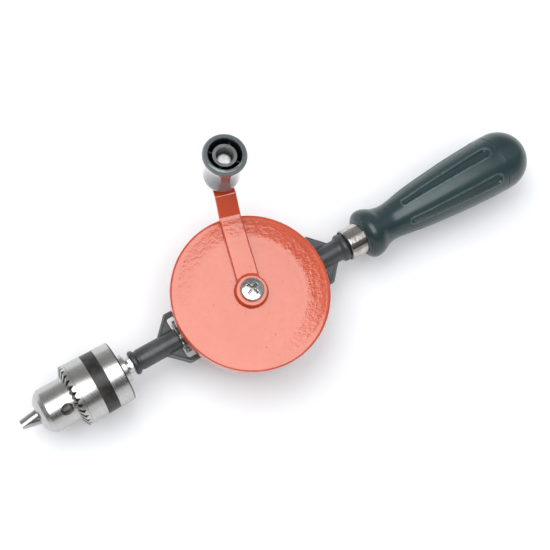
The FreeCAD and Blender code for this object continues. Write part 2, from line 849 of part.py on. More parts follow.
def build_thrust_ball():
    ball = bind(document.addObject("Part::Sphere", "thrust_ball"), Radius=size("ball_radius"))
    place(ball, x=size("spindle_end") + size("ball_radius") + size("running_gap"))
    keep("thrust_ball", ball)


def build_idler():
    """The idler: a second pinion that steadies the wheel's far side, free on its own axle."""
    front = size("crank_x") + size("crown_inner") - size("end_gap")
    bore = size("idler_axle_radius") + size("running_gap")
    body = turned("idler_pinion", [
        (size("idler_hub_start"), bore),
        (size("idler_hub_start"), size("pinion_hub_radius")),
        (front + size("pinion_collar_setback"), size("pinion_hub_radius")),
        (front + size("pinion_collar_setback"), size("idler_shoulder_radius")),
        (size("idler_shoulder_end"), size("idler_shoulder_radius")),
        (size("idler_shoulder_end"), bore),
    ])
    add_pinion_teeth(body, "idler", front, 90)
    turn(body, "idler_bore", [
        (size("idler_hub_start") - OVERRUN, 0),
        (size("idler_hub_start") - OVERRUN, bore),
        (size("idler_shoulder_end") + OVERRUN, bore),
        (size("idler_shoulder_end") + OVERRUN, 0),
    ], "x", "PartDesign::Groove")
    keep("idler_pinion", body)

    clip_end = size("idler_hub_start") - size("end_gap")
    clip_start = clip_end - size("clip_thickness")
    keep("idler_axle", turned("idler_axle", [
        (size("idler_axle_start"), 0),
        (size("idler_axle_start"), size("idler_axle_radius")),
        (clip_start - size("seat_gap"), size("idler_axle_radius")),
        (clip_start - size("seat_gap"), size("idler_groove_radius")),
        (clip_end + size("seat_gap"), size("idler_groove_radius")),
        (clip_end + size("seat_gap"), size("idler_axle_radius")),
        (size("idler_axle_end"), size("idler_axle_radius")),
        (size("idler_axle_end"), 0),
    ]))
    ring = turned("idler_clip_ring", [
        (clip_start, size("idler_groove_radius") + size("seat_gap")),
        (clip_start, size("idler_clip_radius")),
        (clip_end, size("idler_clip_radius")),
        (clip_end, size("idler_groove_radius") + size("seat_gap")),
    ])
    mouth = document.addObject("Part::Box", "idler_clip_mouth")
    width = size("clip_mouth_share") * size("idler_groove_radius")
    length = size("clip_thickness") + 2 * OVERRUN
    bind(mouth, Length=length, Width=width, Height=size("idler_clip_radius"))
    place(mouth, x=clip_start - OVERRUN, y=-width / 2, z=-size("idler_clip_radius"))
    keep("idler_clip", cut("idler_clip", ring, mouth))


# ---------------------------------------------------------------- frame casting

def build_frame():
    """The casting: a front tube, a flat plate with two windows, a middle web and a rear tang."""
    body = new_body("frame_casting")
    plate = new_sketch(body, "plate_outline", "XY_Plane")
    end_half = size("plate_end_half_width")
    half = size("plate_half_width")
    front_corner = size("plate_front_corner")
    rear_corner = size("plate_rear_corner")
    add_outline(plate, [
        (size("plate_front"), -end_half),
        (front_corner, -half),
        (rear_corner, -half),
        (size("plate_rear"), -end_half),
        (size("plate_rear"), end_half),
        (rear_corner, half),
        (front_corner, half),
        (size("plate_front"), end_half),
    ])
    pad(body, "plate", plate, 2 * size("plate_half_height"), both_ways=True)
    rounded(body, "plate_corners", size("plate_corner_radius"), lambda edge: any(
        is_upright(edge, station, side)
        for station in (front_corner, rear_corner)
        for side in (half, -half)
    ))

    web = size("web_half_length")
    window_half = size("window_half_width")
    for name, start, finish in (
        ("front_window", size("window_front"), size("crank_x") - web),
        ("rear_window", size("crank_x") + web, size("window_rear")),
    ):
        window = new_sketch(body, name + "_outline", "XY_Plane")
        corners = [
            (start, -window_half),
            (finish, -window_half),
            (finish, window_half),
            (start, window_half),
        ]
        add_outline(window, corners)
        pocket(body, name, window, 2 * ABOVE_ALL, both_ways=True)
        rounded(
            body, name + "_corners", size("window_corner_radius"),
            lambda edge: any(is_upright(edge, *corner) for corner in corners),
        )

    bead = size("bead_radius")
    tube = size("tube_radius")
    turn(body, "front_tube", [
        (size("tube_front"), 0),
        (size("tube_front"), bead),
        (size("bead_end"), bead),
        (size("bead_end"), size("tube_neck_radius")),
        (size("tube_neck_end"), size("tube_neck_radius")),
        (size("tube_neck_end") + size("tube_neck_slope"), tube),
        (size("tube_end"), tube),
        (size("tube_end"), 0),
    ], "x", "PartDesign::Revolution")
    rounded(body, "bead_edges", size("bead_edge_radius"), lambda edge: (
        is_ring(edge, bead, size("tube_front")) or is_ring(edge, bead, size("bead_end"))
    ))
    bearing_half = size("bearing_half_length")
    turn(body, "middle_bearing", [
        (size("crank_x") - bearing_half, 0),
        (size("crank_x") - bearing_half, size("bearing_radius")),
        (size("crank_x") + bearing_half, size("bearing_radius")),
        (size("crank_x") + bearing_half, 0),
    ], "x", "PartDesign::Revolution")
    boss = new_sketch(body, "axle_boss_circle", "XY_Plane")
    add_circle(boss, size("crank_x"), 0, size("web_boss_radius"))
    pad(body, "axle_boss", boss, 2 * size("web_boss_height"), both_ways=True)
    collar = size("collar_radius")
    turn(body, "rear_tube_and_tang", [
        (size("window_rear"), 0),
        (size("window_rear"), size("rear_tube_radius")),
        (size("collar_foot"), size("rear_tube_radius")),
        (size("collar_front"), collar),
        (size("collar_end"), collar),
        (size("collar_end"), size("tang_radius")),
        (size("tang_end"), size("tang_radius")),
        (size("tang_end"), 0),
    ], "x", "PartDesign::Revolution")
    rounded(body, "collar_edges", size("collar_edge_radius"), lambda edge: (
        is_ring(edge, collar, size("collar_front")) or is_ring(edge, collar, size("collar_end"))
    ))

    bearing_front = size("crank_x") - bearing_half
    journal = size("journal_radius") + size("running_gap")
    rear_journal = size("rear_journal_radius") + size("running_gap")
    idler_axle = size("idler_axle_radius") + size("seat_gap")
    thread = size("bolt_radius") + size("seat_gap")
    end_gap = size("end_gap")
    for name, start, finish, radius in (
        ("front_bore", size("tube_front") - OVERRUN, size("tube_end") + OVERRUN, journal),
        ("rear_journal_bore", bearing_front - OVERRUN, size("ball_seat_x"), rear_journal),
        ("idler_hole", size("idler_axle_start") - end_gap, size("idler_axle_end") + end_gap, idler_axle),
        ("bolt_thread", size("bolt_start") - end_gap, size("tang_end") + OVERRUN, thread),
    ):
        corners = [(start, 0), (start, radius), (finish, radius), (finish, 0)]
        turn(body, name, corners, "x", "PartDesign::Groove")
    axle_hole = new_sketch(body, "axle_hole_circle", "XY_Plane")
    add_circle(axle_hole, size("crank_x"), 0, size("axle_radius") + size("running_gap"))
    pocket(body, "axle_hole", axle_hole, 2 * ABOVE_ALL, both_ways=True)
    keep("frame_casting", body)


# ---------------------------------------------------------------- wheel and axle

def build_wheel():
    """The crank wheel: a flat top, a turned-down rim with crown teeth, and a hub on the axle."""
    top = size("wheel_top")
    radius = size("wheel_radius")
    under = top - size("wheel_plate")
    hub_bottom = size("web_boss_height") + size("wheel_hub_gap")
    bore = size("axle_seat_radius") + size("seat_gap")
    inner_slope = size("wheel_inner_slope")
    body = turned("crank_wheel", [
        (bore, hub_bottom),
        (bore, top),
        (radius, top),
        (radius, size("crown_root")),
        (size("wheel_rim_inner"), size("crown_root")),
        (size("wheel_rim_inner"), under - inner_slope),
        (size("wheel_rim_inner") - inner_slope, under),
        (size("wheel_hub_radius") + inner_slope, under),
        (size("wheel_hub_radius"), under - inner_slope),
        (size("wheel_hub_radius"), hub_bottom),
    ], "z")
    rounded(body, "wheel_edge", size("wheel_edge_radius"), lambda edge: is_ring(edge, radius, top))
    tooth = new_sketch(body, "crown_tooth_outline", "YZ_Plane", size("crown_inner"))
    lean = slope(size("pressure_angle"))
    half = size("crown_tooth_width") / 2
    tip_half = half - (size("crown_pitch_plane") - size("crown_tip")) * lean
    foot = size("crown_root") + size("crown_tooth_sink")
    foot_half = half + (foot - size("crown_pitch_plane")) * lean
    add_outline(tooth, [
        (-foot_half, foot),
        (-tip_half, size("crown_tip")),
        (tip_half, size("crown_tip")),
        (foot_half, foot),
    ])
    one = pad(body, "crown_tooth", tooth, size("crown_outer") - size("crown_inner"))
    around(body, "crown_teeth", one, "Z_Axis", size("wheel_teeth"))
    place(body, x=size("crank_x"), axis=Z_AXIS, angle=180)
    keep("crank_wheel", body)


def build_axle():
    """The wheel's axle: a journal in the frame, a seat in the wheel and a square under the arm."""
    radius = size("axle_radius")
    washer_top = -size("web_boss_height") - size("end_gap")
    clip_top = washer_top - size("washer_thickness") - size("end_gap")
    clip_bottom = clip_top - size("clip_thickness")
    gap = size("seat_gap")
    body = turned("wheel_axle", [
        (0, size("axle_bottom")),
        (radius - size("axle_chamfer"), size("axle_bottom")),
        (radius, size("axle_bottom") + size("axle_chamfer")),
        (radius, clip_bottom - gap),
        (size("clip_groove_radius"), clip_bottom - gap),
        (size("clip_groove_radius"), clip_top + gap),
        (radius, clip_top + gap),
        (radius, size("web_boss_height") + size("wheel_hub_gap")),
        (size("axle_seat_radius"), size("web_boss_height") + size("wheel_hub_gap")),
        (size("axle_seat_radius"), size("wheel_top")),
        (0, size("wheel_top")),
    ], "z")
    square = new_sketch(body, "axle_square_outline", "XY_Plane", size("wheel_top") - OVERRUN)
    half = size("axle_square") / 2
    add_outline(square, [(-half, -half), (half, -half), (half, half), (-half, half)])
    pad(body, "axle_square", square, size("axle_square_top") - size("wheel_top") + OVERRUN)
    thread_bottom = size("axle_square_top") - size("axle_thread_depth")
    turn(body, "axle_thread", [
        (0, thread_bottom),
        (size("axle_thread_radius"), thread_bottom),
        (size("axle_thread_radius"), size("axle_square_top") + OVERRUN),
        (0, size("axle_square_top") + OVERRUN),
    ], "z", "PartDesign::Groove")
    place(body, x=size("crank_x"), axis=Z_AXIS, angle=size("arm_angle"))
    keep("wheel_axle", body)

    washer = turned("axle_washer", [
        (radius + size("running_gap"), washer_top - size("washer_thickness")),
        (size("axle_washer_radius"), washer_top - size("washer_thickness")),
        (size("axle_washer_radius"), washer_top),
        (radius + size("running_gap"), washer_top),
    ], "z")
    keep("axle_washer", place(washer, x=size("crank_x")))

    ring = turned("axle_clip_ring", [
        (size("clip_groove_radius") + gap, clip_bottom),
        (size("clip_radius"), clip_bottom),
        (size("clip_radius"), clip_top),
        (size("clip_groove_radius") + gap, clip_top),
    ], "z")
    mouth = document.addObject("Part::Box", "axle_clip_mouth")
    width = size("clip_mouth_share") * size("clip_groove_radius")
    height = size("clip_thickness") + 2 * OVERRUN
    bind(mouth, Length=size("clip_radius") + OVERRUN, Width=width, Height=height)
    place(mouth, y=-width / 2, z=clip_bottom - OVERRUN)
    clip = cut("axle_clip", ring, mouth)
    keep("axle_clip", place(clip, x=size("crank_x")))


# ---------------------------------------------------------------- crank arm and knob

def arm_end_height():
    """The height of the arm's upper face on the knob's axis."""
    drop = (size("arm_length") - size("arm_bend_end")) * slope(size("knob_lean"))
    return size("arm_bottom") + size("arm_rise") + size("arm_thickness") - drop


def build_arm():
    """The crank arm: a flat bar with one cranked step, and a round boss over the wheel's centre."""
    bottom = size("arm_bottom")
    thick = size("arm_thickness")
    rise = size("arm_rise")
    length = size("arm_length")
    side = new_body("arm_side")
    side_sketch = new_sketch(side, "arm_side_outline", "XZ_Plane")
    shift = size("arm_bend_shift")
    hub_half = size("arm_hub_width") / 2
    slab_end = length + size("arm_hub_width")
    drop = (slab_end - size("arm_bend_end")) * slope(size("knob_lean"))
    add_outline(side_sketch, [
        (-hub_half, bottom),
        (size("arm_bend_start") + shift, bottom),
        (size("arm_bend_end") + shift, bottom + rise),
        (slab_end, bottom + rise - drop),
        (slab_end, bottom + rise + thick - drop),
        (size("arm_bend_end") - shift, bottom + rise + thick),
        (size("arm_bend_start") - shift, bottom + thick),
        (-hub_half, bottom + thick),
    ])
    pad(side, "arm_side_slab", side_sketch, ABOVE_ALL, both_ways=True)
    plan = new_body("arm_plan")
    plan_sketch = new_sketch(plan, "arm_plan_outline", "XY_Plane")
    knob_half = size("arm_knob_width") / 2
    add_outline(plan_sketch, [(0, -hub_half), (length, -knob_half), (length, knob_half), (0, hub_half)])
    pad(plan, "arm_plan_slab", plan_sketch, ABOVE_ALL)
    end = cylinder("arm_end_round", knob_half, ABOVE_ALL)
    place(end, x=length)
    strip = shared("arm_strip", [side, fused("arm_plan_whole", [plan, end])])
    boss = document.addObject("Part::Cone", "arm_boss")
    bind(boss, Radius1=size("arm_boss_radius"), Radius2=size("arm_boss_top_radius"))
    bind(boss, Height=size("arm_boss_top") - bottom)
    place(boss, z=bottom)
    whole = fused("arm_whole", [strip, boss])
    square = document.addObject("Part::Box", "arm_square_hole")
    width = size("axle_square") + 2 * size("running_gap")
    bind(square, Length=width, Width=width, Height=ABOVE_ALL)
    place(square, x=-width / 2, y=-width / 2)
    rivet_hole = cylinder("arm_rivet_hole", size("rivet_radius") + size("seat_gap"), ABOVE_ALL)
    lean = size("knob_lean")
    below = as_size(ABOVE_ALL / 2)
    place(rivet_hole, x=length - below * slope(lean), z=arm_end_height() - below, axis=Y_AXIS, angle=lean)
    arm = cut("crank_arm", whole, fused("arm_holes", [square, rivet_hole]))
    keep("crank_arm", place(arm, x=size("crank_x"), axis=Z_AXIS, angle=size("arm_angle")))


def build_hub_screw():
    """A pan-head screw with a cross recess, into the top of the axle."""
    under = size("arm_boss_top") + size("seat_gap")
    radius = size("screw_head_radius")
    height = size("screw_head_height")
    shank = size("axle_thread_radius") - size("seat_gap")
    chamfer = size("screw_chamfer")
    body = turned("hub_screw_turned", [
        (0, under - size("screw_shank_length")),
        (shank - chamfer, under - size("screw_shank_length")),
        (shank, under - size("screw_shank_length") + chamfer),
        (shank, under),
        (radius - chamfer, under),
        (radius, under + chamfer),
        (radius, under + height),
        (0, under + height),
    ], "z")
    rounded(
        body, "hub_screw_dome", size("screw_head_rounding"),
        lambda edge: is_ring(edge, radius, under + height),
    )
    slots = []
    for number, (along, across) in enumerate((("Length", "Width"), ("Width", "Length")), start=1):
        slot = document.addObject("Part::Box", f"hub_screw_slot_{number}")
        sizes = {along: size("screw_slot_length"), across: size("screw_slot_width")}
        bind(slot, Height=size("screw_slot_depth") + OVERRUN, **sizes)
        bottom = under + height - size("screw_slot_depth")
        place(slot, x=-sizes["Length"] / 2, y=-sizes["Width"] / 2, z=bottom)
        slots.append(slot)
    screw = cut("hub_screw", body, fused("hub_screw_recess", slots))
    keep("hub_screw", place(screw, x=size("crank_x"), axis=Z_AXIS, angle=size("screw_turn")))


def build_knob():
    """The knob: a hollow flared cup with a tube down its middle, held to that tube by four ribs."""
    base = measure("knob_gap")
    bore = measure("rivet_radius") + measure("running_gap")
    top = base + measure("knob_height")
    mouth = measure("knob_mouth_radius")
    chamfer = measure("knob_mouth_chamfer")
    inner = measure("knob_inner_radius")
    floor = base + measure("knob_cavity_floor")
    tube = measure("knob_tube_radius")
    outside = curve_through([(base + height, radius) for height, radius in KNOB_CURVE], "z")
    shape = turned_from_edges([outside], [
        (top, mouth + chamfer),
        (top - chamfer, mouth),
        (top - measure("knob_mouth_depth"), inner),
        (floor, inner),
        (floor, tube),
        (base + measure("knob_tube_height"), tube),
        (base + measure("knob_tube_height"), measure("knob_tube_bore")),
        (base + measure("knob_seat_height"), measure("knob_tube_bore")),
        (base + measure("knob_seat_height"), bore),
        (base, bore),
    ], "z")
    width = measure("knob_rib_width")
    inside_tube = (tube + measure("knob_tube_bore")) / 2
    inside_wall = inner + (inner - tube) / 4
    ribs = []
    for turn_angle in (0, 90, 180, 270):
        rib = Part.makeBox(
            inside_wall - inside_tube, width, measure("knob_rib_height") - measure("knob_cavity_floor"),
            FreeCAD.Vector(inside_tube, -width / 2, floor),
        )
        rib.rotate(FreeCAD.Vector(), Z_AXIS, measure("knob_rib_angle") + turn_angle)
        ribs.append(rib)
    knob = document.addObject("Part::Feature", "knob")
    knob.Shape = shape.fuse(ribs)
    keep("knob", at_knob(knob))


def at_knob(item):
    """Put a piece built about Z on the knob's axis, standing on the arm's sloping far end."""
    arm = size("arm_angle")
    turn_to_arm = FreeCAD.Rotation(Z_AXIS, arm.value)
    lean = FreeCAD.Rotation(Y_AXIS, size("knob_lean").value)
    item.Placement.Rotation = turn_to_arm.multiply(lean)
    item.setExpression("Placement.Base.x", (size("crank_x") + size("arm_length") * cosine(arm)).text)
    item.setExpression("Placement.Base.y", (size("arm_length") * sine(arm)).text)
    item.setExpression("Placement.Base.z", arm_end_height().text)
    return item


def build_rivet():
    """The rivet that the knob turns on, headed inside the knob and peened under the arm."""
    seat = size("knob_gap") + size("knob_seat_height") + size("end_gap")
    head = size("rivet_head_radius")
    head_top = seat + size("rivet_head_height")
    tail = -size("arm_thickness") - size("seat_gap")
    tail_radius = size("rivet_tail_radius")
    tail_end = tail - size("rivet_tail_height")
    rivet = turned("knob_rivet", [
        (0, tail_end),
        (tail_radius, tail_end),
        (tail_radius, tail),
        (size("rivet_radius"), tail),
        (size("rivet_radius"), seat),
        (head, seat),
        (head, head_top),
        (0, head_top),
    ], "z")
    rounded(rivet, "rivet_dome", size("rivet_head_rounding"), lambda edge: is_ring(edge, head, head_top))
    rounded(
        rivet, "rivet_peened_edge", size("rivet_tail_rounding"),
        lambda edge: is_ring(edge, tail_radius, tail_end),
    )
    keep("knob_rivet", at_knob(rivet))


# ---------------------------------------------------------------- ferrule and handle

def build_ferrule():
    front = size("ferrule_front")
    rear = size("ferrule_rear")
    outer = size("ferrule_radius")
    lip = size("ferrule_lip_radius")
    width = size("ferrule_lip_width")
    keep("ferrule", turned("ferrule", [
        (front, outer - size("ferrule_wall")),
        (front, lip),
        (front + width, outer),
        (rear, outer),
        (rear, outer - size("ferrule_wall")),
    ]))


def outline_point(along, radius, about="x"):
    """A point of an outline that is turned about X or Z."""
    return FreeCAD.Vector(along, radius, 0) if about == "x" else FreeCAD.Vector(radius, 0, along)


def curve_through(stations, about="x"):
    """A smooth curve through stations along an axis and the radius at each."""
    curve = Part.BSplineCurve()
    curve.interpolate([outline_point(along, radius, about) for along, radius in stations])
    return curve.toShape()


def turned_from_edges(edges, corners, about="x"):
    """Turn an outline: joined edges, then straight lines through the corners back to the start."""
    first = edges[0].firstVertex().Point
    last = edges[-1].lastVertex().Point
    path = [last] + [outline_point(along, radius, about) for along, radius in corners] + [first]
    lines = [
        Part.LineSegment(start, finish).toShape()
        for start, finish in zip(path, path[1:])
        if start.distanceToPoint(finish) > 1e-6
    ]
    face = Part.Face(Part.Wire([*edges, *lines]))
    return face.revolve(FreeCAD.Vector(), X_AXIS if about == "x" else Z_AXIS, 360)


def flute(azimuth, core):
    """A long shallow channel, wider to the rear and round at both ends, with a floor along the core."""
    front_radius = measure("flute_front_radius")
    rear_radius = measure("flute_rear_radius")
    front_x = measure("flute_start") + front_radius
    rear_x = measure("flute_end") - rear_radius
    taper = math.asin((rear_radius - front_radius) / (rear_x - front_x))

    def side_point(x, radius, side):
        return FreeCAD.Vector(x - radius * math.sin(taper), 0, side * radius * math.cos(taper))

    front_end = FreeCAD.Vector(front_x - front_radius, 0, 0)
    rear_end = FreeCAD.Vector(rear_x + rear_radius, 0, 0)
    front_corners = [side_point(front_x, front_radius, side) for side in (1, -1)]
    rear_corners = [side_point(rear_x, rear_radius, side) for side in (-1, 1)]
    outline = Part.Wire([
        Part.Arc(front_corners[0], front_end, front_corners[1]).toShape(),
        Part.LineSegment(front_corners[1], rear_corners[0]).toShape(),
        Part.Arc(rear_corners[0], rear_end, rear_corners[1]).toShape(),
        Part.LineSegment(rear_corners[1], front_corners[0]).toShape(),
    ])
    block = Part.Face(outline).extrude(FreeCAD.Vector(0, ABOVE_ALL, 0))
    block.rotate(FreeCAD.Vector(), X_AXIS, azimuth)
    return block.cut(core)


def build_handle():
    """The moulded handle, with long flutes, a bore for the tang and a hollow end for the bolt."""
    tang_bore = measure("tang_radius") + measure("seat_gap")
    tang_hole_end = measure("tang_end") + measure("end_gap")
    bolt_bore = measure("bolt_radius") + measure("bolt_hole_gap")
    spigot = measure("ferrule_radius") - measure("ferrule_wall") - measure("seat_gap")
    ferrule_room = measure("ferrule_radius") + measure("end_gap")
    shoulder = measure("ferrule_rear") + measure("end_gap")
    seam = measure("seam_x")
    rear_radius = HANDLE_CURVE[-1][1]
    shape = turned_from_edges([curve_through(HANDLE_CURVE)], [
        (seam, rear_radius - measure("seam_chamfer")),
        (seam, measure("handle_cavity_radius")),
        (measure("bolt_seat"), measure("handle_cavity_radius")),
        (measure("bolt_seat"), bolt_bore),
        (tang_hole_end, bolt_bore),
        (tang_hole_end, tang_bore),
        (measure("handle_spigot_front"), tang_bore),
        (measure("handle_spigot_front"), spigot),
        (shoulder, spigot),
        (shoulder, ferrule_room),
        (HANDLE_CURVE[0][0], ferrule_room),
    ])
    floor_curve = [(x, radius - measure("flute_depth")) for x, radius in HANDLE_CURVE]
    ends = [(floor_curve[-1][0], 0), (floor_curve[0][0], 0)]
    core = turned_from_edges([curve_through(floor_curve)], ends)
    count = int(measure("flute_count"))
    grooves = [flute(measure("flute_azimuth") + 360 * index / count, core) for index in range(count)]
    handle = document.addObject("Part::Feature", "handle_body")
    handle.Shape = shape.cut(grooves)
    keep("handle_body", handle)


def build_end_cap():
    """The domed cap pressed into the handle's open end: half a ball as wide as the handle."""
    radius = HANDLE_CURVE[-1][1]
    plug = measure("handle_cavity_radius") - measure("seat_gap")
    inner = plug - measure("cap_plug_wall")
    seam = measure("seam_x") + measure("running_gap")
    chamfer = measure("seam_chamfer")
    floor = measure("handle_end") - measure("cap_wall")
    dome = measure("handle_end") - radius
    diagonal = radius * math.sqrt(0.5)
    corner = outline_point(seam, radius - chamfer)
    shoulder = outline_point(seam + chamfer, radius)
    spring = outline_point(dome, radius)
    middle = outline_point(dome + diagonal, diagonal)
    tip = outline_point(dome + radius, 0)
    outside = [
        Part.LineSegment(corner, shoulder).toShape(),
        Part.LineSegment(shoulder, spring).toShape(),
        Part.Arc(spring, middle, tip).toShape(),
    ]
    cap = document.addObject("Part::Feature", "handle_end_cap")
    cap.Shape = turned_from_edges(outside, [
        (floor, 0),
        (floor, inner),
        (measure("cap_plug_start"), inner),
        (measure("cap_plug_start"), plug),
        (seam, plug),
    ])
    keep("handle_end_cap", cap)


def build_handle_bolt():
    """The long bolt that draws the handle onto the tang, with its washer."""
    seat = size("bolt_seat") + size("running_gap")
    washer_end = seat + size("bolt_washer_thickness")
    washer_hole = size("bolt_radius") + size("bolt_hole_gap")
    keep("handle_bolt_washer", turned("handle_bolt_washer", [
        (seat, washer_hole),
        (seat, size("bolt_washer_radius")),
        (washer_end, size("bolt_washer_radius")),
        (washer_end, washer_hole),
    ]))
    start = size("bolt_start")
    chamfer = size("bolt_chamfer")
    head = washer_end + size("seat_gap")
    head_end = head + size("bolt_head_height")
    head_radius = size("bolt_head_radius")
    body = turned("handle_bolt", [
        (start, 0),
        (start, size("bolt_radius") - chamfer),
        (start + chamfer, size("bolt_radius")),
        (head, size("bolt_radius")),
        (head, head_radius),
        (head_end - chamfer, head_radius),
        (head_end, head_radius - chamfer),
        (head_end, 0),
    ])
    socket = new_sketch(body, "handle_bolt_socket_outline", "YZ_Plane", head_end)
    hexagon(socket, size("bolt_socket_flats"))
    pocket(body, "handle_bolt_socket", socket, size("bolt_socket_depth"))
    keep("handle_bolt", body)


build_jaws()
build_chuck_body()
build_chuck_nut()
build_chuck_sleeve()
build_spindle()
build_pinion()
build_pinion_pin()
build_pinion_washer()
build_thrust_ball()
build_idler()
build_frame()
build_wheel()
build_axle()
build_arm()
build_hub_screw()
build_knob()
build_rivet()
build_ferrule()
build_handle()
build_end_cap()
build_handle_bolt()
document.recompute()

for item in document.Objects:
    if "Invalid" in item.State or "Error" in item.State:
        raise RuntimeError(f"{item.Label} did not build: {item.State}")
for node, item in NODES.items():
    if item.Shape.isNull() or not item.Shape.isValid():
        raise RuntimeError(f"{node} has no valid shape")

os.makedirs("parts", exist_ok=True)
for node, item in NODES.items():
    item.Shape.exportStep(f"parts/{node}.step")
    print(f"{node}: {len(item.Shape.Solids)} solid(s), {item.Shape.Volume / 1000:.2f} cm3")
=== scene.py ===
import json
import math

import bmesh
import bpy
from mathutils import Matrix, Vector
from mathutils.geometry import interpolate_bezier


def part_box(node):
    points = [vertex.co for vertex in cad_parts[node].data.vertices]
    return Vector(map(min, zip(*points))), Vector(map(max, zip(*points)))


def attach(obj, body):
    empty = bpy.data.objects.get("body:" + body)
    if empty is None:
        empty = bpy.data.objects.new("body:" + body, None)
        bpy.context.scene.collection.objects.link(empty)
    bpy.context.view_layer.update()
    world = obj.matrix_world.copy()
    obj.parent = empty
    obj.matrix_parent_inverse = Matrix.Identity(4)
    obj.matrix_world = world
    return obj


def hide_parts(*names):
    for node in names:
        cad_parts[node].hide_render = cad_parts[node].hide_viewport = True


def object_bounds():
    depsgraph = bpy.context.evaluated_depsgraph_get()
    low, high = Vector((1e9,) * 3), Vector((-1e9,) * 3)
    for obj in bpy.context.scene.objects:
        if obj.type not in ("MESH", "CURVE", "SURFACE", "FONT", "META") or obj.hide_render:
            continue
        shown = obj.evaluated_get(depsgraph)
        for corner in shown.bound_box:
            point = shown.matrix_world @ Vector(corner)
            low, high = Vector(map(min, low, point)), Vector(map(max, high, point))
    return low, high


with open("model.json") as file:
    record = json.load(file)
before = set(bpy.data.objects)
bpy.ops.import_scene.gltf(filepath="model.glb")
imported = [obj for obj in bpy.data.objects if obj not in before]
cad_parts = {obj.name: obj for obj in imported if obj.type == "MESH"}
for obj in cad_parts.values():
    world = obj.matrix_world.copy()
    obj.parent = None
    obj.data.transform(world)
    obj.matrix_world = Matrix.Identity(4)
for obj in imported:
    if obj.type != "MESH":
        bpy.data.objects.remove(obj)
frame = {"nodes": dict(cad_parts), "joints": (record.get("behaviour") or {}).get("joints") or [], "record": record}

# The looks of a hand drill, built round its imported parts. Lengths are in millimetres in the parts' own
# frame unless a comment says metres, and MM turns them into Blender's metres. The spindle runs along X
# and the crank turns about Z.
MM = 0.001
CAD_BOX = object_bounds()
BODY_OF = {node: body for body, nodes in frame["record"]["behaviour"]["bodies"].items() for node in nodes}


def box_mm(node):
    """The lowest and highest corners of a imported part."""
    low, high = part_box(node)
    return low / MM, high / MM


def joint_line(name):
    """A point on a joint's axis, and the axis's direction."""
    joint = next(item for item in frame["joints"] if item["name"] == name)
    return Vector(joint["pos_m"]) / MM, Vector(joint["axis"]).normalized()


# Sizes that a material and a piece share. The wheel's top falls by DISH between two radii.
CRANK_X = 135.4
DISH, DISH_INNER, DISH_OUTER = 0.26, 30.0, 39.0
CHUCK_FRONT_RADIUS = 12.3


# ---------------------------------------------------------------- nodes of a material

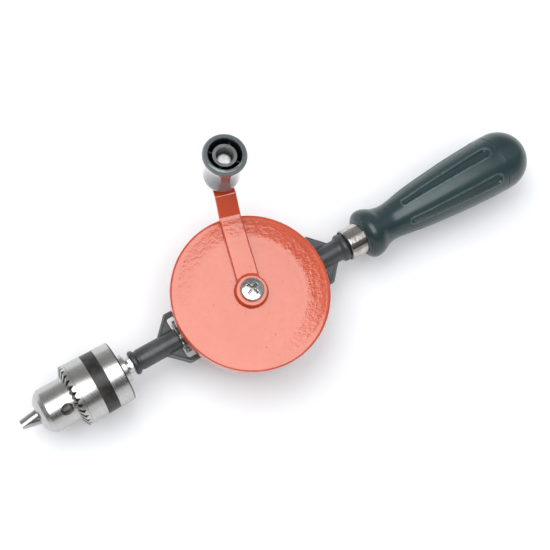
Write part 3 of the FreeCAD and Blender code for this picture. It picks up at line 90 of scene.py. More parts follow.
class Look:
    """A material with one Principled shader, and short ways to add patterns to it."""

    def __init__(self, name, colour, roughness, metallic=0.0, **others):
        self.material = bpy.data.materials.new(name)
        self.material.use_nodes = True
        self.tree = self.material.node_tree
        self.shader = self.tree.nodes["Principled BSDF"]
        self.shader.inputs["Base Color"].default_value = (*colour, 1)
        self.shader.inputs["Roughness"].default_value = roughness
        self.shader.inputs["Metallic"].default_value = metallic
        for socket, value in others.items():
            self.shader.inputs[socket.replace("_", " ")].default_value = value
        self.place = self.add("ShaderNodeTexCoord").outputs["Object"]
        self.sides = self.add("ShaderNodeSeparateXYZ", Vector=self.place).outputs

    def add(self, kind, settings=None, **inputs):
        """A node with its settings, and its inputs linked to sockets or set to values."""
        node = self.tree.nodes.new(kind)
        for name, value in (settings or {}).items():
            setattr(node, name, value)
        for name, value in inputs.items():
            self.feed(node.inputs[name.replace("_", " ")], value)
        return node

    def feed(self, socket, value):
        if isinstance(value, bpy.types.NodeSocket):
            self.tree.links.new(value, socket)
        else:
            socket.default_value = value

    def maths(self, operation, *values):
        node = self.add("ShaderNodeMath", {"operation": operation})
        for socket, value in zip(node.inputs, values):
            self.feed(socket, value)
        return node.outputs[0]

    def length(self, *sides):
        """How long a vector with two sides is."""
        return self.maths("SQRT", self.maths("ADD", *(self.maths("MULTIPLY", side, side) for side in sides)))

    def grain(self, size, detail=2.0, stretch=(1, 1, 1), roughness=0.5):
        """Noise between 0 and 1, with cells of about a size in millimetres, longer along stretched axes."""
        scaled = self.add("ShaderNodeMapping", Vector=self.place)
        scaled.inputs["Scale"].default_value = [1 / (size * MM * along) for along in stretch]
        return self.add(
            "ShaderNodeTexNoise", Vector=scaled.outputs[0], Scale=1.0, Detail=detail, Roughness=roughness
        ).outputs["Fac"]

    def spread(self, value, low, high, to_low=0.0, to_high=1.0):
        """A value between low and high, spread over another range and held within it."""
        node = self.add("ShaderNodeMapRange", {"clamp": True}, Value=value)
        for name, number in (("From Min", low), ("From Max", high), ("To Min", to_low), ("To Max", to_high)):
            node.inputs[name].default_value = number
        return node.outputs[0]

    def blend(self, share, one, other):
        """A colour between two colours."""
        node = self.add("ShaderNodeMix", {"data_type": "RGBA"})
        self.feed(node.inputs["Factor"], share)
        for index, value in ((6, one), (7, other)):
            if isinstance(value, tuple):
                value = (*value, 1)
            self.feed(node.inputs[index], value)
        return node.outputs[2]

    def edges(self, low, high):
        """0 in hollows and on flat faces, up to 1 on outward edges."""
        return self.spread(self.add("ShaderNodeNewGeometry").outputs["Pointiness"], low, high)

    def hollows(self, deep, flat, most):
        """How much painted shade goes in hollows: up to a most there, and 0 on flat faces and outward edges."""
        return self.spread(self.add("ShaderNodeNewGeometry").outputs["Pointiness"], deep, flat, most, 0)

    def round_x(self):
        """The direction of turning about X, which stretches a highlight."""
        return self.add("ShaderNodeTangent", {"direction_type": "RADIAL", "axis": "X"}).outputs[0]

    def raise_by(self, height, distance, over=None):
        """Add a bump, of a height that is worth a distance in millimetres, over an earlier one."""
        node = self.add("ShaderNodeBump", Height=height, Strength=1.0, Distance=distance * MM)
        if over is not None:
            self.feed(node.inputs["Normal"], over)
        return node.outputs[0]

    def finish(self, colour=None, roughness=None, normal=None, tangent=None):
        for name, value in (
            ("Base Color", colour), ("Roughness", roughness), ("Normal", normal), ("Tangent", tangent),
        ):
            if value is not None:
                self.feed(self.shader.inputs[name], value)
        return self.material


# ---------------------------------------------------------------- materials

def red_enamel():
    """Thick glossy enamel: slow sags, a few pits, painted shade on the edges, and wisps where the wheel's top
    falls.
    """
    look = Look("red_enamel", (0.5, 0.05, 0.014), 0.2, Coat_Weight=0.9, Coat_Roughness=0.06, Coat_IOR=1.6)
    look.shader.inputs["Specular Tint"].default_value = (1.0, 0.86, 0.66, 1)
    cloudy = look.grain(22, 3)
    fine = look.grain(2.6, 4, roughness=0.6)
    colour = look.blend(look.spread(cloudy, 0.3, 0.7), (0.47, 0.046, 0.011), (0.53, 0.061, 0.018))
    colour = look.blend(look.spread(fine, 0.45, 0.75, 0, 0.35), colour, (0.5, 0.028, 0.01))
    # Painted shade: edges are darkened, standing in for the dark line that a rounded edge shows in this light.
    colour = look.blend(look.edges(0.53, 0.6), colour, (0.36, 0.012, 0.006))
    pits = look.add("ShaderNodeTexVoronoi", Vector=look.place, Scale=1 / (7 * MM)).outputs["Distance"]
    pit = look.spread(pits, 0.0, 0.05, 1, 0)
    colour = look.blend(look.maths("MULTIPLY", pit, 0.8), colour, (0.12, 0.015, 0.01))
    out = look.length(look.maths("SUBTRACT", look.sides["X"], CRANK_X * MM), look.sides["Y"])
    ring = look.maths(
        "MULTIPLY", look.spread(out, (DISH_INNER - 2) * MM, (DISH_INNER + 2) * MM),
        look.spread(out, (DISH_OUTER - 1) * MM, (DISH_OUTER + 1.5) * MM, 1, 0),
    )
    wisps = look.maths("MULTIPLY", look.grain(1.9, 3, (1.6, 1, 1), 0.6), look.spread(ring, 0, 1, 0.12, 1))
    normal = look.raise_by(cloudy, 0.1)
    normal = look.raise_by(look.grain(6.0, 2, (1, 1.8, 1)), 0.03, over=normal)
    normal = look.raise_by(wisps, 0.13, over=normal)
    normal = look.raise_by(pit, -0.12, over=normal)
    look.feed(look.shader.inputs["Coat Normal"], normal)
    return look.finish(colour, look.spread(fine, 0.2, 0.8, 0.14, 0.26), normal)


PLATE_HALF_HEIGHT, PLATE_HALF_WIDTH = 1.6, 15.0
PLATE_FRONT, PLATE_REAR, PLATE_END_HALF_WIDTH = 81.9, 191.4, 5.3
TUBE_RADIUS = 5.8


def frame_enamel():
    """Slate grey enamel over a casting: smooth on the tubes, gritty on the plate, worn on the edges."""
    look = Look("frame_enamel", (0.045, 0.05, 0.053), 0.36)
    height = look.maths("ABSOLUTE", look.sides["Z"])
    off_axis = look.maths("ABSOLUTE", look.sides["Y"])
    on_plate = look.maths(
        "MULTIPLY", look.spread(height, (PLATE_HALF_HEIGHT + 0.3) * MM, (PLATE_HALF_HEIGHT + 0.8) * MM, 1, 0),
        look.spread(off_axis, (TUBE_RADIUS - 0.3) * MM, (TUBE_RADIUS + 0.4) * MM),
    )
    margin = look.maths("SUBTRACT", PLATE_HALF_WIDTH * MM, off_axis)
    for end, toward in ((PLATE_FRONT, 1.0), (PLATE_REAR, -1.0)):
        inward = look.maths("MULTIPLY", look.maths("SUBTRACT", look.sides["X"], end * MM), toward)
        outward = look.maths("SUBTRACT", off_axis, PLATE_END_HALF_WIDTH * MM)
        margin = look.maths("MINIMUM", margin, look.maths(
            "MULTIPLY", look.maths("SUBTRACT", inward, outward), 0.7
        ))
    rim = look.maths("MULTIPLY", look.spread(margin, 1.1 * MM, 1.7 * MM, 1, 0), on_plate)
    grit = look.grain(0.55, 4, roughness=0.65)
    cloudy = look.grain(9, 3)
    colour = look.blend(look.spread(cloudy, 0.3, 0.7), (0.03, 0.034, 0.036), (0.052, 0.058, 0.06))
    field = look.maths("MULTIPLY", on_plate, look.maths("SUBTRACT", 1.0, rim))
    speckle = look.maths("MULTIPLY", look.spread(grit, 0.44, 0.68), look.spread(field, 0, 1, 0.12, 0.6))
    colour = look.blend(speckle, colour, (0.095, 0.104, 0.102))
    colour = look.blend(look.maths("MULTIPLY", rim, 0.35), colour, (0.085, 0.091, 0.091))
    worn = look.maths("MULTIPLY", look.edges(0.52, 0.6), look.spread(look.grain(2.5, 4), 0.4, 0.62))
    colour = look.blend(worn, colour, (0.2, 0.205, 0.205))
    roughness = look.spread(look.grain(1.6, 3), 0.3, 0.7, 0.26, 0.42)
    normal = look.raise_by(cloudy, 0.12)
    normal = look.raise_by(rim, 0.35, over=normal)
    normal = look.raise_by(look.maths("MULTIPLY", grit, look.spread(field, 0, 1, 0.1, 1)), 0.16, over=normal)
    return look.finish(colour, roughness, normal)


# The stretch of the chuck's body where the key holes and jaw passages are painted dark inside as shade, and the
# radii between which the painted shade starts.
HOLES_START, HOLES_END = 15, 31
HOLES_INNER, HOLES_OUTER = 6.6, 7.2


def turned_steel(name, base, roughness, line_size, holes=False):
    """Steel off a lathe: fine rings round X, handling marks, and painted shade in hollows and holes."""
    look = Look(name, base, roughness, 1.0, Anisotropic=0.3)
    rings = look.grain(line_size, 3, (1, 40, 40), 0.7)
    smears = look.grain(7, 4, roughness=0.6)
    darker = tuple(0.8 * part for part in base)
    colour = look.blend(look.spread(rings, 0.35, 0.65, 0, 0.4), base, darker)
    colour = look.blend(look.spread(smears, 0.5, 0.75, 0, 0.35), colour, darker)
    # Painted shade: hollows are darkened as if shade fell in them.
    colour = look.blend(look.hollows(0.44, 0.485, 0.6), colour, (0.035, 0.03, 0.027))
    # Painted shade: with holes, the key holes and jaw passages of the chuck's body are darkened inside.
    if holes:
        out = look.length(look.sides["Y"], look.sides["Z"])
        under_skin = look.spread(out, (CHUCK_FRONT_RADIUS - 0.6) * MM, (CHUCK_FRONT_RADIUS - 0.2) * MM, 1, 0)
        behind_nose = look.spread(look.sides["X"], HOLES_START * MM, (HOLES_START + 1) * MM)
        before_nut = look.spread(look.sides["X"], (HOLES_END - 1) * MM, HOLES_END * MM, 1, 0)
        sunk = look.maths("MULTIPLY", under_skin, look.maths("MULTIPLY", behind_nose, before_nut))
        sunk = look.maths("MULTIPLY", sunk, look.spread(out, HOLES_INNER * MM, HOLES_OUTER * MM, 0.3, 0.92))
        colour = look.blend(sunk, colour, (0.045, 0.04, 0.036))
    rough = look.maths("ADD", look.spread(rings, 0.3, 0.7, roughness - 0.03, roughness + 0.03),
                       look.spread(smears, 0.45, 0.8, 0, 0.1))
    return look.finish(colour, rough, look.raise_by(rings, 0.0006), look.round_x())


def ground_steel():
    """Hardened jaws: grinding lines along the jaw, a grey oxide tone and bright corners."""
    look = Look("ground_steel", (0.36, 0.36, 0.36), 0.3, 1.0)
    lines = look.grain(0.35, 3, (30, 1, 1), 0.7)
    patches = look.grain(4, 3)
    colour = look.blend(look.spread(lines, 0.35, 0.7), (0.44, 0.44, 0.44), (0.24, 0.24, 0.24))
    colour = look.blend(look.spread(patches, 0.45, 0.75, 0, 0.5), colour, (0.2, 0.19, 0.18))
    colour = look.blend(look.edges(0.52, 0.58), colour, (0.72, 0.72, 0.72))
    return look.finish(colour, look.spread(lines, 0.3, 0.7, 0.22, 0.38), look.raise_by(lines, 0.012))


def gear_steel():
    """Machined gear steel with a film of oil: painted shade, brown-black, in the roots, and bright on the rubbing
    faces.
    """
    look = Look("gear_steel", (0.25, 0.24, 0.225), 0.36, 1.0)
    film = look.grain(1.8, 4, roughness=0.6)
    colour = look.blend(look.spread(film, 0.4, 0.7), (0.27, 0.26, 0.245), (0.13, 0.115, 0.095))
    # Painted shade: the tooth roots and other hollows are darkened.
    colour = look.blend(look.hollows(0.42, 0.49, 0.9), colour, (0.03, 0.022, 0.015))
    colour = look.blend(look.edges(0.54, 0.62), colour, (0.55, 0.54, 0.52))
    return look.finish(colour, look.spread(film, 0.3, 0.75, 0.24, 0.48), look.raise_by(film, 0.02))


def bright_zinc():
    """Zinc plate: bright, faintly blue, with cloudy patches and hair scratches."""
    look = Look("bright_zinc", (0.6, 0.61, 0.62), 0.14, 1.0)
    clouds = look.grain(2.4, 3, roughness=0.5)
    scratches = look.grain(0.16, 2, (1, 14, 1), 0.6)
    colour = look.blend(look.spread(clouds, 0.35, 0.7), (0.6, 0.61, 0.625), (0.4, 0.4, 0.39))
    # Painted shade: hollows are darkened.
    colour = look.blend(look.hollows(0.42, 0.48, 0.8), colour, (0.06, 0.06, 0.06))
    roughness = look.maths(
        "ADD", look.spread(clouds, 0.3, 0.7, 0.07, 0.2), look.spread(scratches, 0.6, 0.75, 0, 0.12)
    )
    normal = look.raise_by(scratches, 0.004)
    return look.finish(colour, roughness, look.raise_by(clouds, 0.16, over=normal))


def bright_rivet():
    """A peened rivet head: bright, with a soft mottled skin that scatters the light."""
    look = Look("bright_rivet", (0.9, 0.9, 0.9), 0.4, 0.35)
    dents = look.grain(1.3, 3)
    colour = look.blend(look.spread(dents, 0.35, 0.7), (0.95, 0.95, 0.95), (0.7, 0.7, 0.69))
    # Painted shade: hollows are darkened.
    colour = look.blend(look.hollows(0.42, 0.48, 0.8), colour, (0.06, 0.06, 0.06))
    return look.finish(colour, look.spread(dents, 0.3, 0.7, 0.3, 0.5), look.raise_by(dents, 0.04))


def nickel():
    """Warm nickel plate on the ferrule, with faint drawing lines and a few worn spots."""
    look = Look("nickel", (0.8, 0.75, 0.72), 0.12, 1.0)
    lines = look.grain(0.3, 2, (1, 24, 24), 0.6)
    spots = look.grain(3.5, 4)
    colour = look.blend(look.spread(spots, 0.4, 0.72), (0.56, 0.52, 0.498), (0.34, 0.305, 0.285))
    # Painted shade: hollows are darkened.
    colour = look.blend(look.hollows(0.44, 0.49, 0.6), colour, (0.05, 0.042, 0.036))
    roughness = look.spread(spots, 0.35, 0.75, 0.08, 0.2)
    normal = look.raise_by(lines, 0.004)
    return look.finish(colour, roughness, look.raise_by(spots, 0.05, over=normal))


def black_band():
    """The chuck sleeve's black band: a burnished dark oxide that catches a soft grey light."""
    look = Look("black_band", (0.035, 0.034, 0.034), 0.34, 0.55, Anisotropic=0.4)
    rings = look.grain(0.3, 3, (1, 40, 40), 0.6)
    cloudy = look.grain(4.5, 4)
    colour = look.blend(look.spread(cloudy, 0.35, 0.7), (0.022, 0.021, 0.021), (0.06, 0.055, 0.052))
    roughness = look.spread(cloudy, 0.3, 0.7, 0.28, 0.44)
    return look.finish(colour, roughness, look.raise_by(rings, 0.012), look.round_x())


def moulded_plastic(name, dark, light, rough_low, rough_high, orange_peel, gloss=0.0):
    """Moulded plastic: a hard skin with sink and flow marks, fine texture and paler worn edges.

    A mesh may have an attribute that paints light and shade: up to 1 for a painted highlight on the lips
    round the handle's flutes, and down to -1 for painted shade in their corners.
    """
    look = Look(name, dark, rough_low, 0.0, IOR=1.5, Coat_Weight=gloss)
    flow = look.grain(16, 3, (2.5, 1, 1))
    skin = look.grain(0.5, 3)
    colour = look.blend(look.spread(flow, 0.3, 0.7), dark, light)
    edge_wear = look.spread(look.grain(3, 4), 0.3, 0.6, 0.25, 0.8)
    worn_edges = look.maths("MULTIPLY", look.edges(0.515, 0.57), edge_wear)
    colour = look.blend(worn_edges, colour, tuple(min(1, 3.2 * part) for part in light))
    # Painted light: lighter on the lips round the handle's flutes as a painted highlight, broken up by noise, and
    # darker in their corners as painted shade.
    flute_highlight_and_shade = look.add("ShaderNodeAttribute", {"attribute_name": "flute_highlight_and_shade"}).outputs["Fac"]
    patchy = look.spread(look.grain(2.2, 3), 0.35, 0.6, 0.3, 1)
    lip_highlight = look.maths("MULTIPLY", look.spread(flute_highlight_and_shade, 0, 1, 0, 0.85), patchy)
    colour = look.blend(lip_highlight, colour, tuple(2.2 * part + 0.04 for part in light))
    colour = look.blend(look.spread(flute_highlight_and_shade, -1, 0, 0.25, 0), colour, tuple(0.3 * part for part in dark))
    dust = look.spread(look.grain(1.1, 5, roughness=0.7), 0.62, 0.8, 0, 0.25)
    colour = look.blend(dust, colour, tuple(min(1, 1.8 * part) for part in light))
    roughness = look.spread(look.grain(5, 4), 0.3, 0.7, rough_low, rough_high)
    normal = look.raise_by(flow, 0.3)
    return look.finish(colour, roughness, look.raise_by(skin, orange_peel, over=normal))


def pale_floor():
    """A pale matt sheet with the faintest unevenness."""
    look = Look("pale_floor", (0.93, 0.935, 0.945), 0.75)
    mottle = look.grain(60, 3)
    return look.finish(look.blend(look.spread(mottle, 0.3, 0.7), (0.925, 0.93, 0.94), (0.945, 0.95, 0.958)))


RED = red_enamel()
FRAME = frame_enamel()
CHUCK = turned_steel("chuck_satin", (0.52, 0.515, 0.505), 0.26, 0.25, holes=True)
JAW = ground_steel()
GEAR = gear_steel()
SPINDLE = turned_steel("spindle_steel", (0.5, 0.5, 0.49), 0.2, 0.3)
ZINC = bright_zinc()
NICKEL = nickel()
BAND = black_band()
HANDLE = moulded_plastic("handle_plastic", (0.017, 0.035, 0.038), (0.023, 0.046, 0.049), 0.2, 0.28, 0.012)
KNOB = moulded_plastic("knob_plastic", (0.1, 0.124, 0.131), (0.12, 0.146, 0.153), 0.05, 0.12, 0.008, 0.8)
# Painted shade: a near-black plastic for the knob's cavity.
KNOB_SHADE = moulded_plastic("knob_cavity_shade", (0.006, 0.007, 0.007), (0.01, 0.011, 0.011), 0.3, 0.5, 0.02)
KNOB_TUBE = moulded_plastic("knob_tube", (0.06, 0.064, 0.064), (0.11, 0.114, 0.114), 0.22, 0.4, 0.03)
RIVET = bright_rivet()


# ---------------------------------------------------------------- pieces

def adopt(piece, node, material):
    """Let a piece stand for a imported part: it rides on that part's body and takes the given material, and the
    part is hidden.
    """
    piece.data.materials.clear()
    piece.data.materials.append(material)
    bpy.context.scene.collection.objects.link(piece)
    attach(piece, BODY_OF[node])
    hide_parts(node)
    return piece


def copied_mesh(node, name):
    """A part's mesh as one welded surface, with its flat faces whole."""
    mesh = frame["nodes"][node].data.copy()
    mesh.name = name
    for attribute in [item.name for item in mesh.attributes if "normal" in item.name]:
        mesh.attributes.remove(mesh.attributes[attribute])
    shape = bmesh.new()
    shape.from_mesh(mesh)
    bmesh.ops.remove_doubles(shape, verts=shape.verts, dist=1e-7)
    bmesh.ops.dissolve_limit(shape, angle_limit=math.radians(0.5), verts=shape.verts, edges=shape.edges)
    for face in shape.faces:
        face.smooth = True
    shape.to_mesh(mesh)
    shape.free()
    return mesh


def machined(node, material, edge, segments=2):
    """A part as machined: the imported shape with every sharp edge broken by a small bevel."""
    piece = bpy.data.objects.new(node + "_piece", copied_mesh(node, node + "_piece"))
    adopt(piece, node, material)
    bevel = piece.modifiers.new("broken_edges", "BEVEL")
    bevel.width = edge * MM
    bevel.segments = segments
    bevel.limit_method = "ANGLE"
    bevel.angle_limit = math.radians(28)
    bevel.use_clamp_overlap = True
    bevel.harden_normals = True
    return piece


def cast(node, material, cell, passes):
    """A part as cast or thickly painted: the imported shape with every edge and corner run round."""
    piece = bpy.data.objects.new(node + "_piece", copied_mesh(node, node + "_piece"))
    adopt(piece, node, material)
    remesh = piece.modifiers.new("skin", "REMESH")
    remesh.mode = "VOXEL"
    remesh.voxel_size = cell * MM
    remesh.use_smooth_shade = True
    soften = piece.modifiers.new("run_round", "SMOOTH")
    soften.factor = 0.5
    soften.iterations = passes
    return piece


def carried(node, material):
    """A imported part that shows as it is, with its own finish."""
    part = frame["nodes"][node]
    for slot in part.material_slots:
        slot.link = "OBJECT"
        slot.material = material


def paint_faces(piece, material, chosen):
    """Give another material to the faces of a piece whose centres are chosen."""
    piece.data.materials.append(material)
    for face in piece.data.polygons:
        if chosen(face.center / MM):
            face.material_index = len(piece.data.materials) - 1


# ---------------------------------------------------------------- turned pieces

def rounded_corners(corners, segments=3):
    """A closed outline of (along, radius, rounding) corners, with an arc of a few points at each rounding."""
    points = []
    for index, (along, radius, rounding) in enumerate(corners):
        here = Vector((along, radius))
        if not rounding:
            points.append(tuple(here))
            continue
        before = Vector(corners[index - 1][:2])
        after = Vector(corners[(index + 1) % len(corners)][:2])
        back = (before - here).normalized()
        ahead = (after - here).normalized()
        half = back.angle(ahead) / 2
        reach = min(rounding / math.tan(half), (before - here).length / 2.1, (after - here).length / 2.1)
        start, finish = here + back * reach, here + ahead * reach
        for step in range(segments + 1):
            share = step / segments
            points.append(tuple(
                start * (1 - share) ** 2 + here * 2 * share * (1 - share) + finish * share ** 2
            ))
    return points


def split_long(points, longest):
    """The same closed outline with points added, so that no side is longer than a length."""
    divided = []
    for index, point in enumerate(points):
        following = points[(index + 1) % len(points)]
        gap = math.dist(point, following)
        count = max(1, math.ceil(gap / longest))
        for step in range(count):
            share = step / count
            divided.append(tuple(a + (b - a) * share for a, b in zip(point, following)))
    return divided


def lathe(name, outline, about, steps, centre=0.0, change=None, sharp=38):
    """A closed outline of (along, radius) points turned about X or Z, each point changed by its angle."""
    vertices = []
    for number, (along, radius) in enumerate(outline):
        for turn in range(steps):
            angle = 2 * math.pi * turn / steps
            here, out = change(number, along, radius, angle) if change else (along, radius)
            across, up = out * math.cos(angle), out * math.sin(angle)
            place = (here, across, up) if about == "X" else (centre + across, up, here)
            vertices.append([part * MM for part in place])
    faces = []
    for ring in range(len(outline)):
        following = (ring + 1) % len(outline)
        for turn in range(steps):
            beside = (turn + 1) % steps
            faces.append((
                ring * steps + turn, ring * steps + beside,
                following * steps + beside, following * steps + turn,
            ))
    mesh = bpy.data.meshes.new(name)
    mesh.from_pydata(vertices, [], faces)
    shape = bmesh.new()
    shape.from_mesh(mesh)
    bmesh.ops.remove_doubles(shape, verts=shape.verts, dist=1e-7)
    bmesh.ops.recalc_face_normals(shape, faces=shape.faces)
    shape.to_mesh(mesh)
    shape.free()
    mesh.shade_smooth()
    mesh.set_sharp_from_angle(angle=math.radians(sharp))
    return bpy.data.objects.new(name, mesh)


def drilled(piece, tools):
    """A piece with round tools cut out of it. A tool is its axis start, axis end and two radii."""
    scene = bpy.context.scene.collection
    scene.objects.link(piece)
    shape = bmesh.new()
    for start, finish, radius, far_radius in tools:
        start, finish = Vector(start) * MM, Vector(finish) * MM
        turn = (finish - start).to_track_quat("Z", "Y").to_matrix().to_4x4()
        bmesh.ops.create_cone(
            shape, cap_ends=True, segments=72, radius1=radius * MM, radius2=far_radius * MM,
            depth=(finish - start).length, matrix=Matrix.Translation((start + finish) / 2) @ turn,
        )
    tool_mesh = bpy.data.meshes.new("tool")
    shape.to_mesh(tool_mesh)
    shape.free()
    tool = bpy.data.objects.new("tool", tool_mesh)
    scene.objects.link(tool)
    cutting = piece.modifiers.new("cutting", "BOOLEAN")
    cutting.operation = "DIFFERENCE"
    cutting.solver = "EXACT"
    cutting.use_self = True
    cutting.object = tool
    bpy.context.view_layer.update()
    result = bpy.data.meshes.new_from_object(piece.evaluated_get(bpy.context.evaluated_depsgraph_get()))
    piece.modifiers.clear()
    piece.data = result
    bpy.data.objects.remove(tool)
    scene.objects.unlink(piece)
    result.shade_smooth()
    result.set_sharp_from_angle(angle=math.radians(32))
    return piece


def smooth_curve(stations, step):
    """Points on a smooth curve through stations, about a step apart."""
    points = [Vector((*station, 0)) for station in stations]
    tangents = []
    for index, point in enumerate(points):
        before = points[max(index - 1, 0)]
        after = points[min(index + 1, len(points) - 1)]
        tangents.append((after - before) / (after.x - before.x))
    curve = []
    for index in range(len(points) - 1):
        start, end = points[index], points[index + 1]
        third = (end.x - start.x) / 3
        count = max(2, round((end - start).length / step))
        stretch = interpolate_bezier(
            start, start + tangents[index] * third, end - tangents[index + 1] * third, end, count + 1
        )
        curve.extend((point.x, point.y) for point in stretch[:-1])
    curve.append(tuple(stations[-1]))
    return curve


# ---------------------------------------------------------------- handle

HANDLE_CURVE = (
    (209.6, 10.6), (211.6, 13.3), (214.2, 14.2), (217.6, 13.7), (222.2, 11.6), (228.2, 10.5),
    (236.4, 11.4), (247.4, 13.1), (262.4, 14.7), (277.4, 16.0), (291.0, 16.8), (301.5, 17.1),
)
SEAM_CHAMFER = 0.3
BORE_RADIUS = 5.02
SPIGOT_RADIUS = 8.38
SPIGOT_FRONT = 200.0
FERRULE_GAP = 0.1
CAVITY_RADIUS = 9.0
CAVITY_FRONT = 270.0
FLUTES = 6
FLUTE_START, FLUTE_END = 237.5, 297.5
FLUTE_FRONT_RADIUS, FLUTE_REAR_RADIUS = 1.4, 2.9
FLUTE_AZIMUTH = 13.0
FLUTE_DEPTH = 0.95
FLUTE_WALL = 0.85
FLUTE_LIP, FLUTE_LIP_WIDTH = 0.13, 0.6
HANDLE_STEPS = 600
CURVE_STEP = 0.45


def inside_flute(x, radius, angle):
    """How far a place on the handle lies inside the nearest flute's outline, negative outside it."""
    front = FLUTE_START + FLUTE_FRONT_RADIUS
    rear = FLUTE_END - FLUTE_REAR_RADIUS
    spacing = 2 * math.pi / FLUTES
    away = (angle - math.radians(FLUTE_AZIMUTH) + spacing / 2) % spacing - spacing / 2
    across = radius * math.sin(away)
    along = max(front - x, 0, x - rear)
    share = min(max((x - front) / (rear - front), 0), 1)
    width = FLUTE_FRONT_RADIUS + share * (FLUTE_REAR_RADIUS - FLUTE_FRONT_RADIUS)
    return width - math.hypot(across, along)


def flute_lip(inside):
    """1 on the raised lip round a flute and 0 away from it."""
    return max(0, 1 - ((inside + FLUTE_LIP_WIDTH) / FLUTE_LIP_WIDTH) ** 2)


def flute_depth(inside):
    """How deep the handle's surface lies under its outer curve, in and round a flute."""
    wall = min(max(inside / FLUTE_WALL, 0), 1)
    return FLUTE_DEPTH * wall * wall * (3 - 2 * wall) - FLUTE_LIP * flute_lip(inside)


def build_handle():
    """The moulded handle: one closed skin, with its flutes sunk into the outer curve."""
    seam = box_mm("handle_body")[1].x
    ferrule = box_mm("ferrule")[1]
    outside = smooth_curve(HANDLE_CURVE, CURVE_STEP)
    shoulder = ferrule.x + FERRULE_GAP
    room = ferrule.y + FERRULE_GAP
    inside = [
        (seam, HANDLE_CURVE[-1][1] - SEAM_CHAMFER), (seam, CAVITY_RADIUS), (CAVITY_FRONT, CAVITY_RADIUS),
        (CAVITY_FRONT, BORE_RADIUS), (SPIGOT_FRONT, BORE_RADIUS), (SPIGOT_FRONT, SPIGOT_RADIUS),
        (shoulder, SPIGOT_RADIUS), (shoulder, room), (HANDLE_CURVE[0][0], room),
    ]

    def sunk(number, x, radius, angle):
        return x, radius - (flute_depth(inside_flute(x, radius, angle)) if number < len(outside) else 0)

    handle = lathe("handle_body_piece", outside + inside, "X", HANDLE_STEPS, change=sunk)
    adopt(handle, "handle_body", HANDLE)
    flute_highlight_and_shade = handle.data.attributes.new("flute_highlight_and_shade", "FLOAT", "POINT")
    # Painted light: up to 1 for a painted highlight on each flute's lip, and down to -1 for painted shade in its
    # corner.
    for vertex, value in zip(handle.data.vertices, flute_highlight_and_shade.data):
        x, across, up = vertex.co / MM
        radius = math.hypot(across, up)
        if radius > room:
            depth = inside_flute(x, radius, math.atan2(up, across))
            corner = max(0, 1 - ((depth - FLUTE_WALL) / FLUTE_WALL) ** 2)
            value.value = flute_lip(depth) ** 3 - corner


# ---------------------------------------------------------------- wheel

CROWN_TEETH = 55
CROWN_ROOT, CROWN_TIP = 9.9, 6.5
CROWN_INNER, CROWN_OUTER = 37.5, 42.5
CROWN_FOOT = 1.57
CROWN_SLOPE = math.tan(math.radians(20))
TOOTH_EDGE, TOOTH_WALL = 0.15, 0.03
STEPS_PER_TOOTH = 16
WHEEL_PLATE, WHEEL_SLOPE = 2.6, 2.0
RIM_INNER = 36.6
HUB_RADIUS, HUB_FOOT, HUB_BORE = 10.5, 8.2, 4.22
LONG_BLEND = 90


def build_wheel():
    """The crank wheel: a slightly dished disc with a rolled edge, a hub, and crown teeth under its rim."""
    low, high = box_mm("crank_wheel")
    rim = (high.x - low.x) / 2
    top = high.z
    under = top - WHEEL_PLATE
    outline = rounded_corners([
        (HUB_FOOT, HUB_BORE, 0), (top, HUB_BORE, 0.3), (top, DISH_INNER, LONG_BLEND),
        (top - DISH, DISH_OUTER, LONG_BLEND), (top - DISH, rim, 1.2), (CROWN_ROOT, rim, 0.3),
        (CROWN_ROOT, RIM_INNER, 0.3), (under - WHEEL_SLOPE, RIM_INNER, 0.5),
        (under, RIM_INNER - WHEEL_SLOPE, 0.5), (under, HUB_RADIUS + WHEEL_SLOPE, 0.5),
        (under - WHEEL_SLOPE, HUB_RADIUS, 0.5), (HUB_FOOT, HUB_RADIUS, 0.3),
    ], 6)
    crown = [(CROWN_ROOT, radius) for radius in (
        CROWN_OUTER + TOOTH_WALL, CROWN_OUTER - TOOTH_EDGE,
        CROWN_INNER + TOOTH_EDGE, CROWN_INNER - TOOTH_WALL,
    )]
    after_rim = next(
        number for number, (z, radius) in enumerate(outline)
        if abs(z - CROWN_ROOT) < 0.001 and radius < CROWN_INNER
    )
    points = split_long(outline[:after_rim] + crown + outline[after_rim:], 3)

    def toothed(number, z, radius, angle):
        if abs(z - CROWN_ROOT) > 0.001 or not CROWN_INNER < radius < CROWN_OUTER:
            return z, radius
        spacing = 2 * math.pi / CROWN_TEETH
        across = radius * math.sin((angle - math.pi + spacing / 2) % spacing - spacing / 2)
        height = (CROWN_FOOT - abs(across)) / CROWN_SLOPE
        return z - min(max(height, 0), CROWN_ROOT - CROWN_TIP), radius

    wheel = lathe("crank_wheel_piece", points, "Z", CROWN_TEETH * STEPS_PER_TOOTH, CRANK_X, toothed)
    adopt(wheel, "crank_wheel", RED)


SCREW_TURN = math.radians(20)
SCREW_DOME = 0.85
SCREW_SEAT, SHANK_RADIUS = 20.62, 2.08
RECESS_WIDTH, RECESS_LENGTH, RECESS_DEPTH = 1.5, 7.2, 1.5
RECESS_WALL = 0.3


def recess_depth(across, along):
    """How deep the cross recess is, this far along and across one of its arms."""
    inside = min(RECESS_WIDTH / 2 - abs(across), RECESS_LENGTH / 2 - abs(along))
    return RECESS_DEPTH * min(max(inside / RECESS_WALL, 0), 1)


